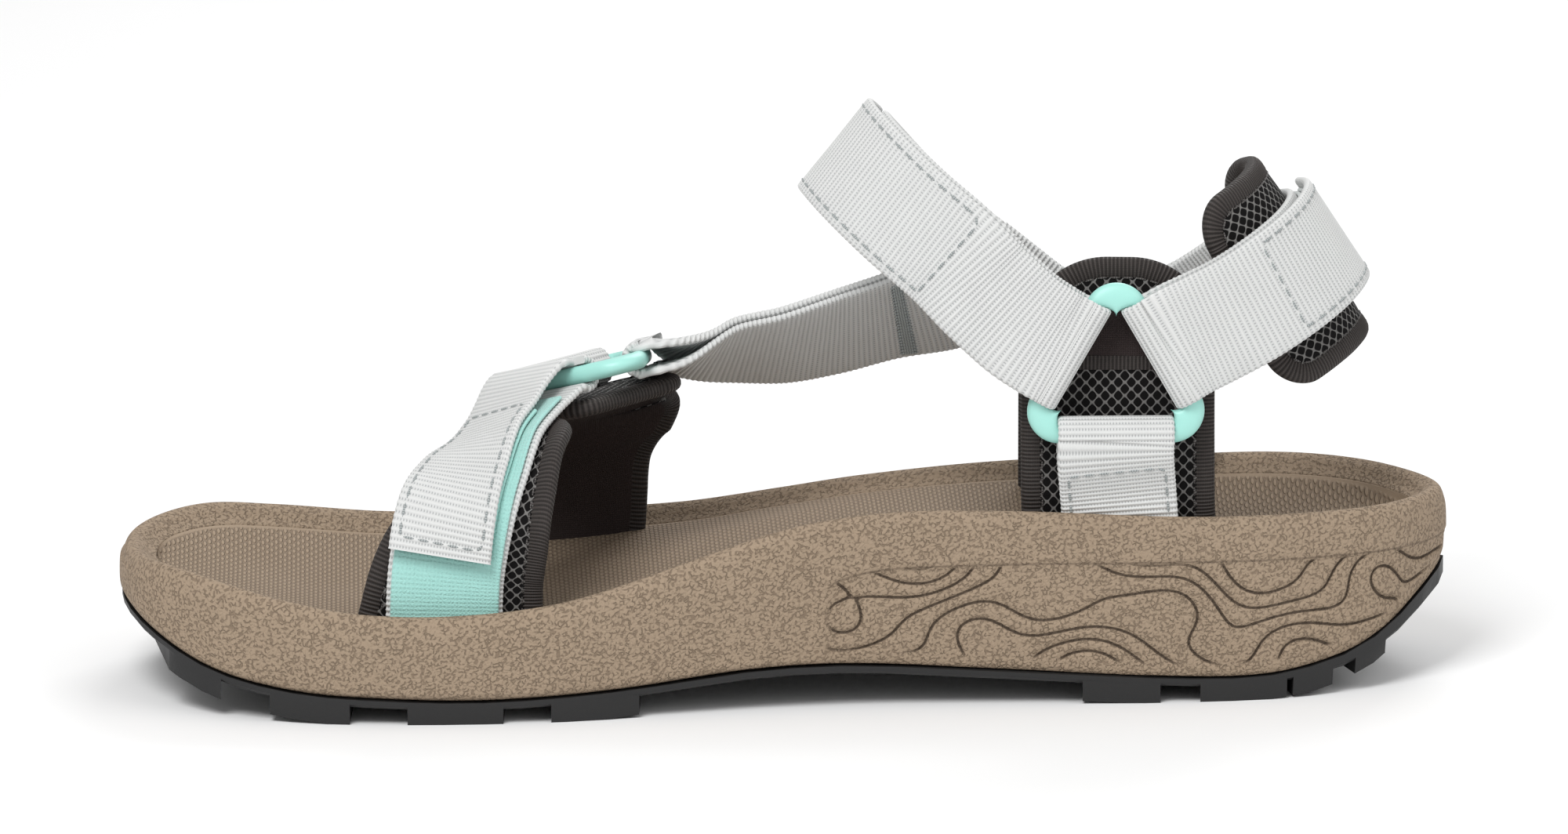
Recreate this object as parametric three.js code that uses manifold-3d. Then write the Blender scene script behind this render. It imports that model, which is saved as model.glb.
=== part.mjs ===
// A strappy sport sandal for a right foot: a four-layer sole and an upper of webbing straps,
// padded patches, three triangular rings and three hook-and-loop tabs.
// Millimetres. +X runs from toe to heel, +Y from the inner (medial) side to the outer (lateral)
// side, +Z is up. The origin is on the ground, under the middle of the sole.
import * as THREE from "three";
import { mergeVertices } from "three/addons/utils/BufferGeometryUtils.js";
import Module from "manifold-3d";

const wasm = await Module();
wasm.setup();

// ---- driving dimensions ----
const GAP = 0.3; // air left between any two pieces that touch on the real sandal
const WEB_WIDTH = 23.2; // one-inch webbing, as measured once it is woven and heat-set
const WEB_THICK = 1.5;
const TAPE_THICK = 0.8; // one side of hook-and-loop tape
const TAPE_WIDTH = 20;
const PAD_THICK = 4.4; // foam, mesh and lining together
const BINDING_WIDTH = 5.2; // the grosgrain edge, seen face on
const RING_SIDE = 22.4; // between the centres of two corners
const RING_CORNER = 6.5; // outer radius of a corner
const RING_BAR = 3.6; // the bar is this wide and this thick
const FOOTBED_THICK = 4.7;
const RIM_CREST = 2.6; // how far in from the sidewall the rim is highest
const RIM_INNER = 4.4;
const FOOTBED_INSET = 7.5; // where the rim meets the footbed
const AROUND = 76; // points round the sole
const ACROSS = 6; // spans from the inner to the outer side of the sole
const STEP = 4; // between two cross-sections of a strap

// Where a layer of a strap lies, measured outwards from the middle of its inner layer.
const BAR_MIDDLE = WEB_THICK / 2 + GAP + RING_BAR / 2;
const OVER_BAR = 2 * BAR_MIDDLE;
const SEWN_DOWN = WEB_THICK + GAP;
const LOOP_LOW = WEB_THICK / 2 + GAP;
const LOOP_HIGH = LOOP_LOW + TAPE_THICK;
const HOOK_LOW = LOOP_HIGH + GAP;
const HOOK_HIGH = HOOK_LOW + TAPE_THICK;
const TAB_MIDDLE = HOOK_HIGH + GAP + WEB_THICK / 2;
const PAD_TOP = -WEB_THICK / 2 - GAP - 0.1; // a pad lies inside the strap
const TAB_ARCH_LONG = 15;
const TAB_ARCH_HIGH = 0.3;
const RING_APOTHEM = RING_SIDE / (2 * Math.sqrt(3)) + RING_CORNER; // centre to a side's outer edge
const FOLD_START = RING_APOTHEM - RING_BAR / 2; // centre to the middle of a bar

// ---- helpers ----
const vec = (x, y, z) => new THREE.Vector3(x, y, z);
const lerp = THREE.MathUtils.lerp;

// A smooth curve y(x) through a few [x, y] points, level beyond its ends.
function profile(points) {
  const slope = points.map((p, i) => {
    const a = points[Math.max(0, i - 1)];
    const b = points[Math.min(points.length - 1, i + 1)];
    return (b[1] - a[1]) / (b[0] - a[0]);
  });
  return (x) => {
    if (x <= points[0][0]) return points[0][1];
    const last = points.length - 1;
    if (x >= points[last][0]) return points[last][1];
    const i = points.findIndex((p) => p[0] > x) - 1;
    const span = points[i + 1][0] - points[i][0];
    const t = (x - points[i][0]) / span;
    const rise = points[i + 1][1] - points[i][1];
    const m0 = slope[i] * span;
    const m1 = slope[i + 1] * span;
    return points[i][1] + t * (m0 + t * (3 * rise - 2 * m0 - m1 + t * (m0 + m1 - 2 * rise)));
  };
}

// A solid from an array of point rings, each joined to the next. Both halves of a ring are cut
// along the same diagonals, so layers of a twisted strap stay parallel. A closed loft joins its
// last ring to its first, an open one has flat fans over both ends. back(i) says that span i of
// the loft runs backwards along its strap.
function loft(rings, closed = false, back = () => false) {
  const n = rings[0].length;
  const positions = rings.flat().flatMap((p) => [p.x, p.y, p.z]);
  const index = [];
  const spans = closed ? rings.length : rings.length - 1;
  for (let i = 0; i < spans; i++)
    for (let j = 0; j < n; j++) {
      const [k, next] = [(j + 1) % n, (i + 1) % rings.length];
      const [a, b, c, d] = [i * n + j, i * n + k, next * n + k, next * n + j];
      index.push(...(j < n / 2 !== back(i) ? [a, b, c, a, c, d] : [a, b, d, b, c, d]));
    }
  const end = (rings.length - 1) * n;
  for (let j = 1; !closed && j < n - 1; j++) {
    index.push(0, j + 1, j);
    index.push(end, end + j, end + j + 1);
  }
  return facingOut(positions, index);
}

// A geometry whose faces point out, whichever way its rings were listed.
function facingOut(positions, index) {
  let volume = 0;
  const at = (i) => vec(...positions.slice(3 * i, 3 * i + 3));
  for (let i = 0; i < index.length; i += 3)
    volume += at(index[i]).dot(at(index[i + 1]).cross(at(index[i + 2])));
  if (volume < 0)
    for (let i = 0; i < index.length; i += 3)
      [index[i + 1], index[i + 2]] = [index[i + 2], index[i + 1]];
  const geometry = new THREE.BufferGeometry();
  geometry.setAttribute("position", new THREE.Float32BufferAttribute(positions, 3));
  geometry.setIndex(index);
  return geometry;
}

// The same shape as a manifold solid, for joining and cutting.
function toSolid(geometry) {
  const bare = geometry.clone();
  for (const name of Object.keys(bare.attributes))
    if (name !== "position") bare.deleteAttribute(name);
  const merged = mergeVertices(bare, 1e-4);
  return new wasm.Manifold(
    new wasm.Mesh({
      numProp: 3,
      vertProperties: merged.attributes.position.array,
      triVerts: new Uint32Array(merged.index.array),
    }),
  );
}

function fromSolid(solid) {
  const mesh = solid.getMesh();
  const geometry = new THREE.BufferGeometry();
  geometry.setAttribute("position", new THREE.Float32BufferAttribute(mesh.vertProperties, 3));
  geometry.setIndex([...mesh.triVerts]);
  return geometry;
}

// ---- bands: a curve with a width direction at each of its points ----

// A band runs along a curve. at(u) gives, u millimetres from its start, the point on the curve,
// the direction along it, the direction across it and the normal, which faces outward. Where
// webbing bunches up in a ring, bunched(u) is the fraction of its width that is left.
function band(stations, outward, bunched = () => 1) {
  const widths = stations.map((s) => vec(...s[1]).normalize());
  for (let i = 1; i < widths.length; i++) if (widths[i].dot(widths[i - 1]) < 0) widths[i].negate();
  const along = new THREE.CatmullRomCurve3(
    stations.map((s) => vec(...s[0])), false, "catmullrom", 0.5);
  const across = new THREE.CatmullRomCurve3(widths, false, "catmullrom", 0.5);
  const length = along.getLength();
  const side = Math.sign(along.getTangent(0).cross(widths[0]).dot(vec(...outward)));
  const at = (u) => {
    const inside = THREE.MathUtils.clamp(u / length, 0, 1) * length;
    const t = along.getUtoTmapping(inside / length);
    const tangent = along.getTangent(t);
    const width = across.getPoint(t);
    width.addScaledVector(tangent, -width.dot(tangent)).normalize();
    const normal = tangent.clone().cross(width).multiplyScalar(side);
    const point = along.getPoint(t).addScaledVector(tangent, u - inside);
    return { point, tangent, width, normal };
  };
  const place = (u, v, n) => {
    const f = at(u);
    return f.point.addScaledVector(f.width, v).addScaledVector(f.normal, n);
  };
  return { length, at, place, bunched };
}

// How far along a band a point on it lies.
function whereOn(on, point) {
  let best = 0;
  for (let u = 0; u <= on.length; u += 0.05)
    if (on.at(u).point.distanceTo(point) < on.at(best).point.distanceTo(point)) best = u;
  return best;
}

// Webbing: a path in the (u, n) plane of a band, given thickness there and swept over a width,
// whose middle may lie a little to one side of the band's.
function webbing(on, path, width = WEB_WIDTH, thick = WEB_THICK, shift = 0) {
  const edges = [shift - width / 2, shift, shift + width / 2];
  const rings = path.map((p, i) => {
    const a = path[Math.max(0, i - 1)];
    const b = path[Math.min(path.length - 1, i + 1)];
    const length = Math.hypot(b[0] - a[0], b[1] - a[1]);
    const du = (-(b[1] - a[1]) / length) * (thick / 2);
    const dn = ((b[0] - a[0]) / length) * (thick / 2);
    return [
      ...edges.map((v) => on.place(p[0] + du, v * on.bunched(p[0]), p[1] + dn)),
      ...edges.toReversed().map((v) => on.place(p[0] - du, v * on.bunched(p[0]), p[1] - dn)),
    ];
  });
  return loft(rings, false, (i) => path[i + 1][0] < path[i][0]);
}

// Values from one end to the other, by way of the multiples of STEP that lie between.
function samples(from, to) {
  const [low, high] = [Math.min(from, to), Math.max(from, to)];
  const list = [low];
  for (let u = STEP * Math.ceil((low + 0.8) / STEP); u < high - 0.8; u += STEP) list.push(u);
  list.push(high);
  return from < to ? list : list.reverse();
}

// A run of path points from u = from to u = to, at a height n or n(u).
const run = (from, to, height) =>
  samples(from, to).map((u) => [u, typeof height === "function" ? height(u) : height]);

// The half turn of webbing round a ring's bar. The bar's middle is FOLD_START from the ring's
// centre, which is at u = centre; away is +1 if the strap leaves towards greater u, else -1.
function foldRound(centre, away) {
  const steps = 6;
  return Array.from({ length: steps - 1 }, (_, i) => {
    const a = (Math.PI * (i + 1)) / steps;
    return [
      centre + away * (FOLD_START - BAR_MIDDLE * Math.sin(a)),
      BAR_MIDDLE * (1 - Math.cos(a)),
    ];
  });
}

// The outer layer's height: over the bar next to the ring, then down to rest over settle mm.
const settling = (centre, rest, settle) => (u) => {
  const t = THREE.MathUtils.clamp((Math.abs(u - centre) - FOLD_START) / settle, 0, 1);
  return lerp(OVER_BAR, rest, t * t * (3 - 2 * t));
};

// A tab's height: it springs up a little between the bar and where the tapes hold it down.
const arched = (centre) => (u) => {
  const t = THREE.MathUtils.clamp((Math.abs(u - centre) - FOLD_START) / TAB_ARCH_LONG, 0, 1);
  return settling(centre, TAB_MIDDLE, TAB_ARCH_LONG)(u) + TAB_ARCH_HIGH * Math.sin(Math.PI * t) ** 2;
};

// A strap that folds round the ring at centre and is sewn down on itself as far as u = outer.
function foldedStrap(on, inner, centre, away, outer, settle = 14) {
  const start = centre + away * FOLD_START;
  return webbing(on, [
    ...run(inner, start, 0),
    ...foldRound(centre, away),
    ...run(start, outer, settling(centre, SEWN_DOWN, settle)),
  ]);
}

// ---- padded patches ----

// A pad lies on a band between u = from and u = to and between v = low(u) and v = high(u). Its
// corners are rounded, at the start by corner[0] and at the end by corner[1]. An open pad goes
// on into the sole at its start. skew(u) slants it. Its foam is framed by a binding, GAP + ease
// away from it.
function makePad(on, { from, to, low, high, corner, open = false, skew = () => 0, ease = 0.2 }) {
  const way = Math.sign(to - from); // a pad may start at either end of its band
  // The distance from v = low to the outline near a rounded corner.
  const cut = (distance, radius) =>
    distance >= radius ? 0 : radius - Math.sqrt(Math.max(0, radius ** 2 - (radius - distance) ** 2));
  const outline = (inset) => {
    const start = open ? from : from + way * inset;
    const stop = to - way * inset;
    const radius = corner.map((r) => Math.max(1, r - inset));
    const edges = (u) => {
      const c = Math.max(open ? 0 : cut(way * (u - start), radius[0]), cut(way * (stop - u), radius[1]));
      const [a, b] = [low(u) + inset + c, high(u) - inset - c];
      return a < b - 1 ? [a, b] : [(a + b - 1) / 2, (a + b + 1) / 2];
    };
    const bend = (end, r, sign) => [0, 0.08, 0.3, 0.62].map((t) => end + sign * way * r * t);
    const rows = [
      ...(open ? [start] : bend(start, radius[0], 1)),
      ...samples(start + (open ? 0 : way * radius[0]), stop - way * radius[1]).slice(open ? 1 : 0),
      ...bend(stop, radius[1], -1).reverse(),
    ];
    return rows.map((u) => ({ u, edges: edges(u) }));
  };
  const place = (u, v, n) => on.place(u + skew(u) * v, v, n);
  const foam = outline(BINDING_WIDTH + GAP + ease).map(({ u, edges: [a, b] }) => [
    ...[a, (a + b) / 2, b].map((v) => place(u, v, PAD_TOP)),
    ...[b, (a + b) / 2, a].map((v) => place(u, v, PAD_TOP - PAD_THICK)),
  ]);
  const middle = outline(BINDING_WIDTH / 2);
  const path = [
    ...middle.map(({ u, edges }) => [u, edges[0]]),
    ...middle.toReversed().map(({ u, edges }) => [u, edges[1]]),
  ].map(([u, v]) => [u + skew(u) * v, v]);
  const n = path.length;
  const rings = path.map((p, i) => {
    const a = open ? path[Math.max(0, i - 1)] : path[(i + n - 1) % n];
    const b = open ? path[Math.min(n - 1, i + 1)] : path[(i + 1) % n];
    const length = Math.hypot(b[0] - a[0], b[1] - a[1]);
    const du = (-(b[1] - a[1]) / length) * (BINDING_WIDTH / 2);
    const dv = ((b[0] - a[0]) / length) * (BINDING_WIDTH / 2);
    return [
      on.place(p[0] + du, p[1] + dv, PAD_TOP - PAD_THICK - 0.6),
      on.place(p[0] + du, p[1] + dv, PAD_TOP),
      on.place(p[0] - du, p[1] - dv, PAD_TOP),
      on.place(p[0] - du, p[1] - dv, PAD_TOP - PAD_THICK - 0.6),
    ];
  });
  return { pad: loft(foam), edge: loft(rings, !open) };
}

// ---- rings ----

// The frame of a ring: its centre, its outward normal and the direction of bar angle 0.
function ringFrame(centre, normal, right, turn) {
  const n = vec(...normal).normalize();
  const x = vec(...right).addScaledVector(n, -vec(...right).dot(n)).normalize();
  const y = n.clone().cross(x);
  const toward = (degrees) => {
    const a = THREE.MathUtils.degToRad(degrees + turn);
    return x.clone().multiplyScalar(Math.cos(a)).addScaledVector(y, Math.sin(a));
  };
  const middle = vec(...centre);
  const inner = middle.clone().addScaledVector(n, -BAR_MIDDLE);
  // A strap's first stations, straight out from the ring's middle across one of its bars, or a
  // little to one side of the middle.
  const leave = (degrees, shift = 0) => {
    const out = toward(degrees);
    const across = out.clone().cross(n);
    return [0, 4, 8, 12, 16].map((d) => [
      inner.clone().addScaledVector(out, d).addScaledVector(across, shift).toArray(),
      across.toArray(),
    ]);
  };
  return { middle, inner, n, toward, leave };
}

// A closed triangular loop with round corners and an octagonal section.
function ringGeometry(frame) {
  const corner = RING_CORNER - RING_BAR / 2;
  const reach = RING_SIDE / Math.sqrt(3);
  const arc = 6;
  const rings = [];
  for (const degrees of [90, 210, 330])
    for (let i = 0; i <= arc; i++) {
      const radial = frame.toward(degrees - 60 + (120 * i) / arc);
      rings.push(Array.from({ length: 8 }, (_, k) => {
        const a = ((k + 0.5) * Math.PI) / 4;
        const centre = frame.middle.clone().addScaledVector(frame.toward(degrees), reach);
        return centre.addScaledVector(radial, corner + (Math.cos(a) * RING_BAR) / 2)
          .addScaledVector(frame.n, (Math.sin(a) * RING_BAR) / 2);
      }));
    }
  return loft(rings, true);
}

// ---- the sole ----

// The sidewall seen from above, from the toe along the inner side to the heel and back.
const OUTLINE = [
  [-134, -4], [-129.5, -24], [-116, -38], [-96, -45], [-72, -47], [-46, -45.5], [-18, -40],
  [12, -35.5], [44, -34], [76, -33.5], [102, -30], [123, -19.5],
  [134, 0],
  [123, 20], [102, 30.5], [76, 34], [44, 36], [12, 40], [-18, 44.5], [-46, 47], [-72, 44.5],
  [-96, 40], [-117, 31.5], [-130.5, 15.5],
];
const underside = profile([
  [-134, 19], [-117, 10.5], [-100, 6.6], [-80, 5.2], [-60, 4.8], [-32, 6.2], [-8, 8.6],
  [12, 9], [40, 7.4], [71, 5.6], [95, 5.2], [111, 8.2], [120, 12.4], [128, 18.5], [134, 23],
]);
const innerRim = profile([
  [-134, 28], [-124, 29], [-112, 27], [-100, 24.4], [-86, 22.2], [-68, 21.8], [-48, 23.6],
  [-32, 27.4], [-16, 32.6], [2, 38], [22, 40.4], [44, 40], [78, 38], [98, 37.6], [134, 37],
]);
const outerRim = profile([
  [-134, 28], [-118, 28.8], [-104, 27], [-80, 23.8], [-46, 23.2], [-20, 25], [0, 28.4],
  [18, 31.4], [47, 34.8], [88, 37], [108, 38], [134, 37.6],
]);
const footbedMiddle = profile([
  [-134, 25.5], [-116, 21.5], [-92, 18], [-64, 17.4], [-40, 19.6], [-20, 23.6], [4, 28.6],
  [30, 30.6], [60, 29.6], [92, 28.6], [134, 30],
]);
const soleCurve = new THREE.CatmullRomCurve3(
  OUTLINE.map(([x, y]) => vec(x, y, 0)), true, "catmullrom", 0.5);

// The outline, inset by a distance: AROUND points, the first at the toe.
function outlineRing(inset) {
  return Array.from({ length: AROUND }, (_, i) => {
    const t = i / AROUND;
    const p = soleCurve.getPoint(t);
    const tangent = soleCurve.getTangent(t);
    return vec(p.x + tangent.y * -inset, p.y + tangent.x * inset, 0);
  });
}
const rimHeight = (p) =>
  lerp(innerRim(p.x), outerRim(p.x), THREE.MathUtils.clamp(p.y / 80 + 0.5, 0, 1));
const edgeHeight = (p) => rimHeight(p) - 3.2;

// A solid between the grids that span two outline rings, with more rings up its side.
// bottom(p, s) and top(p, s) give heights, s being -1 and 1 at the edges and 0 in the middle.
function soleSolid(rings, bottom, top) {
  const half = AROUND / 2;
  const cap = (ring, height) => {
    const rows = [];
    for (let i = 1; i < half; i++) {
      const a = ring[i];
      const b = ring[AROUND - i];
      const row = [];
      for (let j = 1; j < ACROSS; j++) {
        const p = a.clone().lerp(b, j / ACROSS);
        p.z = height(p, (2 * j) / ACROSS - 1, a, b);
        row.push(p);
      }
      rows.push(row);
    }
    return rows;
  };
  const positions = rings.flat().flatMap((p) => [p.x, p.y, p.z]);
  const index = [];
  for (let k = 0; k < rings.length - 1; k++)
    for (let i = 0; i < AROUND; i++) {
      const j = (i + 1) % AROUND;
      const [a, b, c, d] = [k * AROUND + i, k * AROUND + j, (k + 1) * AROUND + j, (k + 1) * AROUND + i];
      index.push(a, b, c, a, c, d);
    }
  const close = (ringStart, ring, height, flip) => {
    const rows = cap(ring, height);
    const start = positions.length / 3;
    for (const p of rows.flat()) positions.push(p.x, p.y, p.z);
    const at = (i, j) => {
      if (i === 0) return ringStart;
      if (i === half) return ringStart + half;
      if (j === 0) return ringStart + i;
      if (j === ACROSS) return ringStart + AROUND - i;
      return start + (i - 1) * (ACROSS - 1) + (j - 1);
    };
    for (let i = 0; i < half; i++)
      for (let j = 0; j < ACROSS; j++) {
        const quad = [at(i, j), at(i, j + 1), at(i + 1, j + 1), at(i + 1, j)];
        for (const [a, b, c] of [[quad[0], quad[1], quad[2]], [quad[0], quad[2], quad[3]]])
          if (a !== b && b !== c && a !== c) index.push(...(flip ? [a, c, b] : [a, b, c]));
      }
  };
  close(0, rings[0], bottom, false);
  close((rings.length - 1) * AROUND, rings[rings.length - 1], top, true);
  return facingOut(positions, index);
}

const withHeight = (inset, height) =>
  outlineRing(inset).map((p) => {
    p.z = height(p);
    return p;
  });
// The footbed dips from its edges to its middle.
const dished = (drop) => (p, s, a, b) => {
  const edge = lerp(edgeHeight(a), edgeHeight(b), (s + 1) / 2);
  const bowl = Math.pow(Math.abs(s), 2.2);
  return lerp(Math.min(footbedMiddle(p.x), edge), edge, bowl) - drop;
};

// Slots in the footbed and pockets in the midsole take the ends of the straps and pads.
const SLOTS = [
  { x: -68, y: -35.7, long: 41, wide: 9.8, low: 8.5 },
  { x: -44, y: 35.6, long: 40, wide: 10.2, low: 8.5 },
  { x: 66.4, y: -25.2, long: 41.5, wide: 10.6, low: 20 },
  { x: 68, y: 25.7, long: 41.5, wide: 10.8, low: 20 },
];
function slotCutter({ x, y, long, wide, low }) {
  const high = 45;
  const box = new THREE.BoxGeometry(long, wide, high - low);
  return toSolid(box.translate(x, y, (high + low) / 2));
}
const SHANK = { from: -14, to: 58, wide: 26, thick: 1.6 };

function shankSolid(grow) {
  const steps = 12;
  const rings = Array.from({ length: steps + 1 }, (_, i) => {
    const x = lerp(SHANK.from - grow, SHANK.to + grow, i / steps);
    const z = underside(THREE.MathUtils.clamp(x, SHANK.from, SHANK.to));
    const h = SHANK.wide / 2 + grow;
    const low = z + GAP - (grow ? 4 : 0);
    const high = z + GAP + SHANK.thick + grow;
    return [vec(x, 1 - h, low), vec(x, 1 + h, low), vec(x, 1 + h, high), vec(x, 1 - h, high)];
  });
  return loft(rings);
}

function midsole() {
  const rings = [
    withHeight(1.2, (p) => underside(p.x)),
    withHeight(0.2, (p) => underside(p.x) + 1.4),
    withHeight(0, (p) => lerp(underside(p.x), rimHeight(p), 0.55)),
    withHeight(0.7, (p) => rimHeight(p) - 1.6),
    withHeight(RIM_CREST, rimHeight),
    withHeight(RIM_INNER, (p) => rimHeight(p) - 0.7),
    withHeight(FOOTBED_INSET, edgeHeight),
    withHeight(FOOTBED_INSET, (p) => edgeHeight(p) - FOOTBED_THICK - GAP),
  ];
  let solid = toSolid(soleSolid(rings, (p) => underside(p.x), dished(FOOTBED_THICK + GAP)));
  for (const slot of SLOTS) solid = solid.subtract(slotCutter(slot));
  return fromSolid(solid.subtract(toSolid(shankSolid(GAP))));
}

function footbed() {
  const inset = FOOTBED_INSET + GAP;
  const rings = [
    withHeight(inset, (p) => edgeHeight(p) - FOOTBED_THICK),
    withHeight(inset, edgeHeight),
  ];
  let solid = toSolid(soleSolid(rings, dished(FOOTBED_THICK), dished(0)));
  for (const slot of SLOTS) solid = solid.subtract(slotCutter(slot));
  return fromSolid(solid);
}

// Tread blocks seen from below, as [x from, x to, y from, y to, lean]: the x of their edges
// leans by that much per millimetre of y. Those at the sides run out to the outsole's edge.
const TREAD = [];
for (const [from, to] of [[-105, -89], [-77.5, -58.5], [-49, -31.6], [57, 72.6], [80.6, 98]]) {
  const inner = from < 0 ? 27 : 19;
  TREAD.push([from, to, -60, -inner, 0.12], [from, to, inner, 60, -0.12]);
  TREAD.push([from + 2, to - 1, -inner + 5, -1.6, 0.4], [from + 2, to - 1, 1.6, inner - 5, -0.4]);
}
for (const [from, to] of [[-121, -112], [104, 112.6], [117.6, 124.6]])
  TREAD.push([from, to, -60, -4, -0.25], [from, to, 4, 60, 0.25]);
const TREAD_DEPTH = 5.4;

function treadBlock([from, to, low, high, lean]) {
  const middle = (low + high) / 2;
  const pull = (y) => lean * (THREE.MathUtils.clamp(y, -40, 40) - middle);
  const corners = [[from, low], [to, low], [to, high], [from, high]];
  return toSolid(loft([-1, 45].map((z) => corners.map(([x, y]) => vec(x + pull(y), y, z)))));
}

// The rubber sheet that the blocks stand on is thicker where it wraps up the heel.
const sheetThick = profile([[96, 1.6], [118, 2.8], [134, 4]]);

function outsole() {
  const top = (p) => underside(p.x) - GAP;
  const low = (p) => top(p) - sheetThick(p.x);
  const inLow = (p) => low(p) + 0.6;
  const foot = (p) => Math.max(0, top(p) - TREAD_DEPTH);
  const sheet = soleSolid(
    [withHeight(1.3, low), withHeight(0.5, inLow), withHeight(0.5, top)], low, top);
  const deep = soleSolid([withHeight(1.1, foot), withHeight(0.5, inLow)], foot, inLow);
  let blocks = treadBlock(TREAD[0]);
  for (const block of TREAD.slice(1)) blocks = blocks.add(treadBlock(block));
  return fromSolid(blocks.intersect(toSolid(deep)).add(toSolid(sheet)));
}

// ---- where the upper's bands run ----
const INNER_RING = ringFrame([65, -31.2, 66.2], [0, -1, 0.04], [1, 0, 0], 0);
const OUTER_RING = ringFrame([68, 31, 56.5], [0, 1, 0], [-1, 0, 0], 0);
const FRONT_RING = ringFrame([-39.6, 5.5, 60.6], [-0.23, 0.18, 0.95], [1, 0, 0], 86);
const INSIDE = [0, -1, 0]; // towards the inner side of the foot
const OUTSIDE = [0, 1, 0];
const UP = [0, 0, 1];

const toeBand = band([
  [[-69, -37.6, 6], [1, 0, 0]],
  [[-69, -38, 18], [1, 0, 0]],
  [[-68.4, -37, 29.6], [1, -0.02, 0]],
  [[-66, -33.6, 39.4], [0.97, -0.2, 0.02]],
  [[-61.6, -26.6, 46.2], [0.88, -0.38, 0.23]],
  [[-56.4, -18.4, 51.4], [0.78, -0.42, 0.46]],
  ...FRONT_RING.leave(150, 2.2).reverse(),
], INSIDE, profile([[52, 1], [66, 0.88]]));
const outerFrontBand = band([
  [[-29.6, -21, 59.6], [0.88, 0.42, 0.2]],
  [[-32.6, -11.8, 60.8], [0.88, 0.44, 0.12]],
  ...FRONT_RING.leave(30),
  [[-47.8, 28, 48.8], [0.96, 0.25, 0.1]],
  [[-46.6, 34.6, 40], [1, 0.08, 0.02]],
  [[-44.6, 37, 28.6], [1, 0, 0]],
  [[-44, 37.2, 17], [1, 0, 0]],
  [[-44, 37.2, 7], [1, 0, 0]],
], UP, profile([[42, 0.86], [58, 1]]));
const frontCentre = whereOn(outerFrontBand, FRONT_RING.inner);
const diagonalBand = band([
  ...FRONT_RING.leave(270, -2.2),
  [[-11.6, 11.4, 62.6], [0.05, 0.8, -0.6]],
  [[0.4, 14.2, 63.2], [0.04, 0.68, -0.73]],
  [[12.4, 18.2, 65.2], [-0.06, 0.56, -0.83]],
  [[24, 20.8, 68], [-0.16, 0.5, -0.86]],
  [[34.4, 20.6, 70.6], [-0.24, 0.42, -0.88]],
], UP, profile([[15, 0.88], [30, 1]]));
const instepBand = band([
  ...INNER_RING.leave(150),
  [[46, -28, 77.8], [0.52, -0.02, 0.85]],
  [[39.2, -26.8, 84], [0.54, -0.02, 0.84]],
  [[33, -25, 90.4], [0.55, -0.04, 0.83]],
  [[24.4, -20, 97.2], [0.58, -0.04, 0.82]],
  [[17.2, -11.6, 103], [0.6, -0.02, 0.8]],
  [[13.6, -0.5, 105.4], [0.62, 0, 0.785]],
  [[16, 10.6, 101], [0.64, 0, 0.77]],
  [[23, 19.6, 92], [0.66, 0.02, 0.75]],
  [[32, 25.6, 82.8], [0.66, 0.03, 0.75]],
  [[42.8, 28.2, 73.6], [0.62, 0.02, 0.78]],
  ...OUTER_RING.leave(30).reverse(),
], INSIDE);
const heelBand = band([
  ...INNER_RING.leave(30),
  [[88.6, -27, 78.6], [-0.48, 0, 0.87]],
  [[97, -23, 83], [-0.5, 0, 0.86]],
  [[103.6, -15.6, 86.4], [-0.52, 0, 0.85]],
  [[107.2, -5.8, 88], [-0.54, 0, 0.84]],
  [[107.6, 5, 87.4], [-0.55, 0, 0.83]],
  [[104.4, 14.4, 84.4], [-0.56, 0, 0.82]],
  [[98.6, 21.8, 77.4], [-0.56, 0, 0.82]],
  [[91, 26.6, 70.6], [-0.55, 0, 0.83]],
  ...OUTER_RING.leave(150).reverse(),
], INSIDE);
const innerAnkleBand = band([
  ...INNER_RING.leave(270),
  [[66, -27.7, 39], [1, 0, 0]],
  [[66.4, -26.8, 28], [1, 0, 0]],
  [[66.4, -26.6, 16], [1, 0, 0]],
], INSIDE);
const outerAnkleBand = band([
  ...OUTER_RING.leave(270),
  [[68, 27.4, 29], [1, 0, 0]],
  [[68, 27.2, 16], [1, 0, 0]],
], OUTSIDE);
// Two bands that only pads use run on inside the ankle rings.
const innerPadBand = band([
  [[66.4, -26.6, 16], [1, 0, 0]],
  [[66.4, -26.8, 28], [1, 0, 0]],
  [[66, -27.6, 39], [1, 0, 0]],
  [[65.8, -28.2, 53], [1, 0, 0]],
  [[65.8, -27.6, 67], [1, 0, 0]],
  [[66, -26.2, 79], [1, 0, 0]],
  [[66.2, -23.8, 91], [1, 0, 0]],
], INSIDE);
const outerPadBand = band([
  [[68, 27.2, 16], [1, 0, 0]],
  [[68, 27.4, 29], [1, 0, 0]],
  [[68, 28, 41], [1, 0, 0]],
  [[68, 28, 56], [1, 0, 0]],
  [[68, 26.8, 68], [1, 0, 0]],
  [[68, 24.4, 79], [1, 0, 0]],
], OUTSIDE);

// ---- the pieces ----
const TAB_START = FOLD_START + 3; // a tab parts from its strap just past the bar
const toeCentre = toeBand.length; // where the front ring's centre lies on its band
const TOE_TAB_END = 26;
const TOE_TAB_WIDTH = 20.6; // narrower than its strap, and nearer the toe
const TOE_TAB_SHIFT = -1.6;
const TOE_LOOP_WIDTH = 21.6;
const TOE_HOOK_WIDTH = 17;
const INSTEP_TAB_END = 86;
const HEEL_TAB_END = 72;

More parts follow.
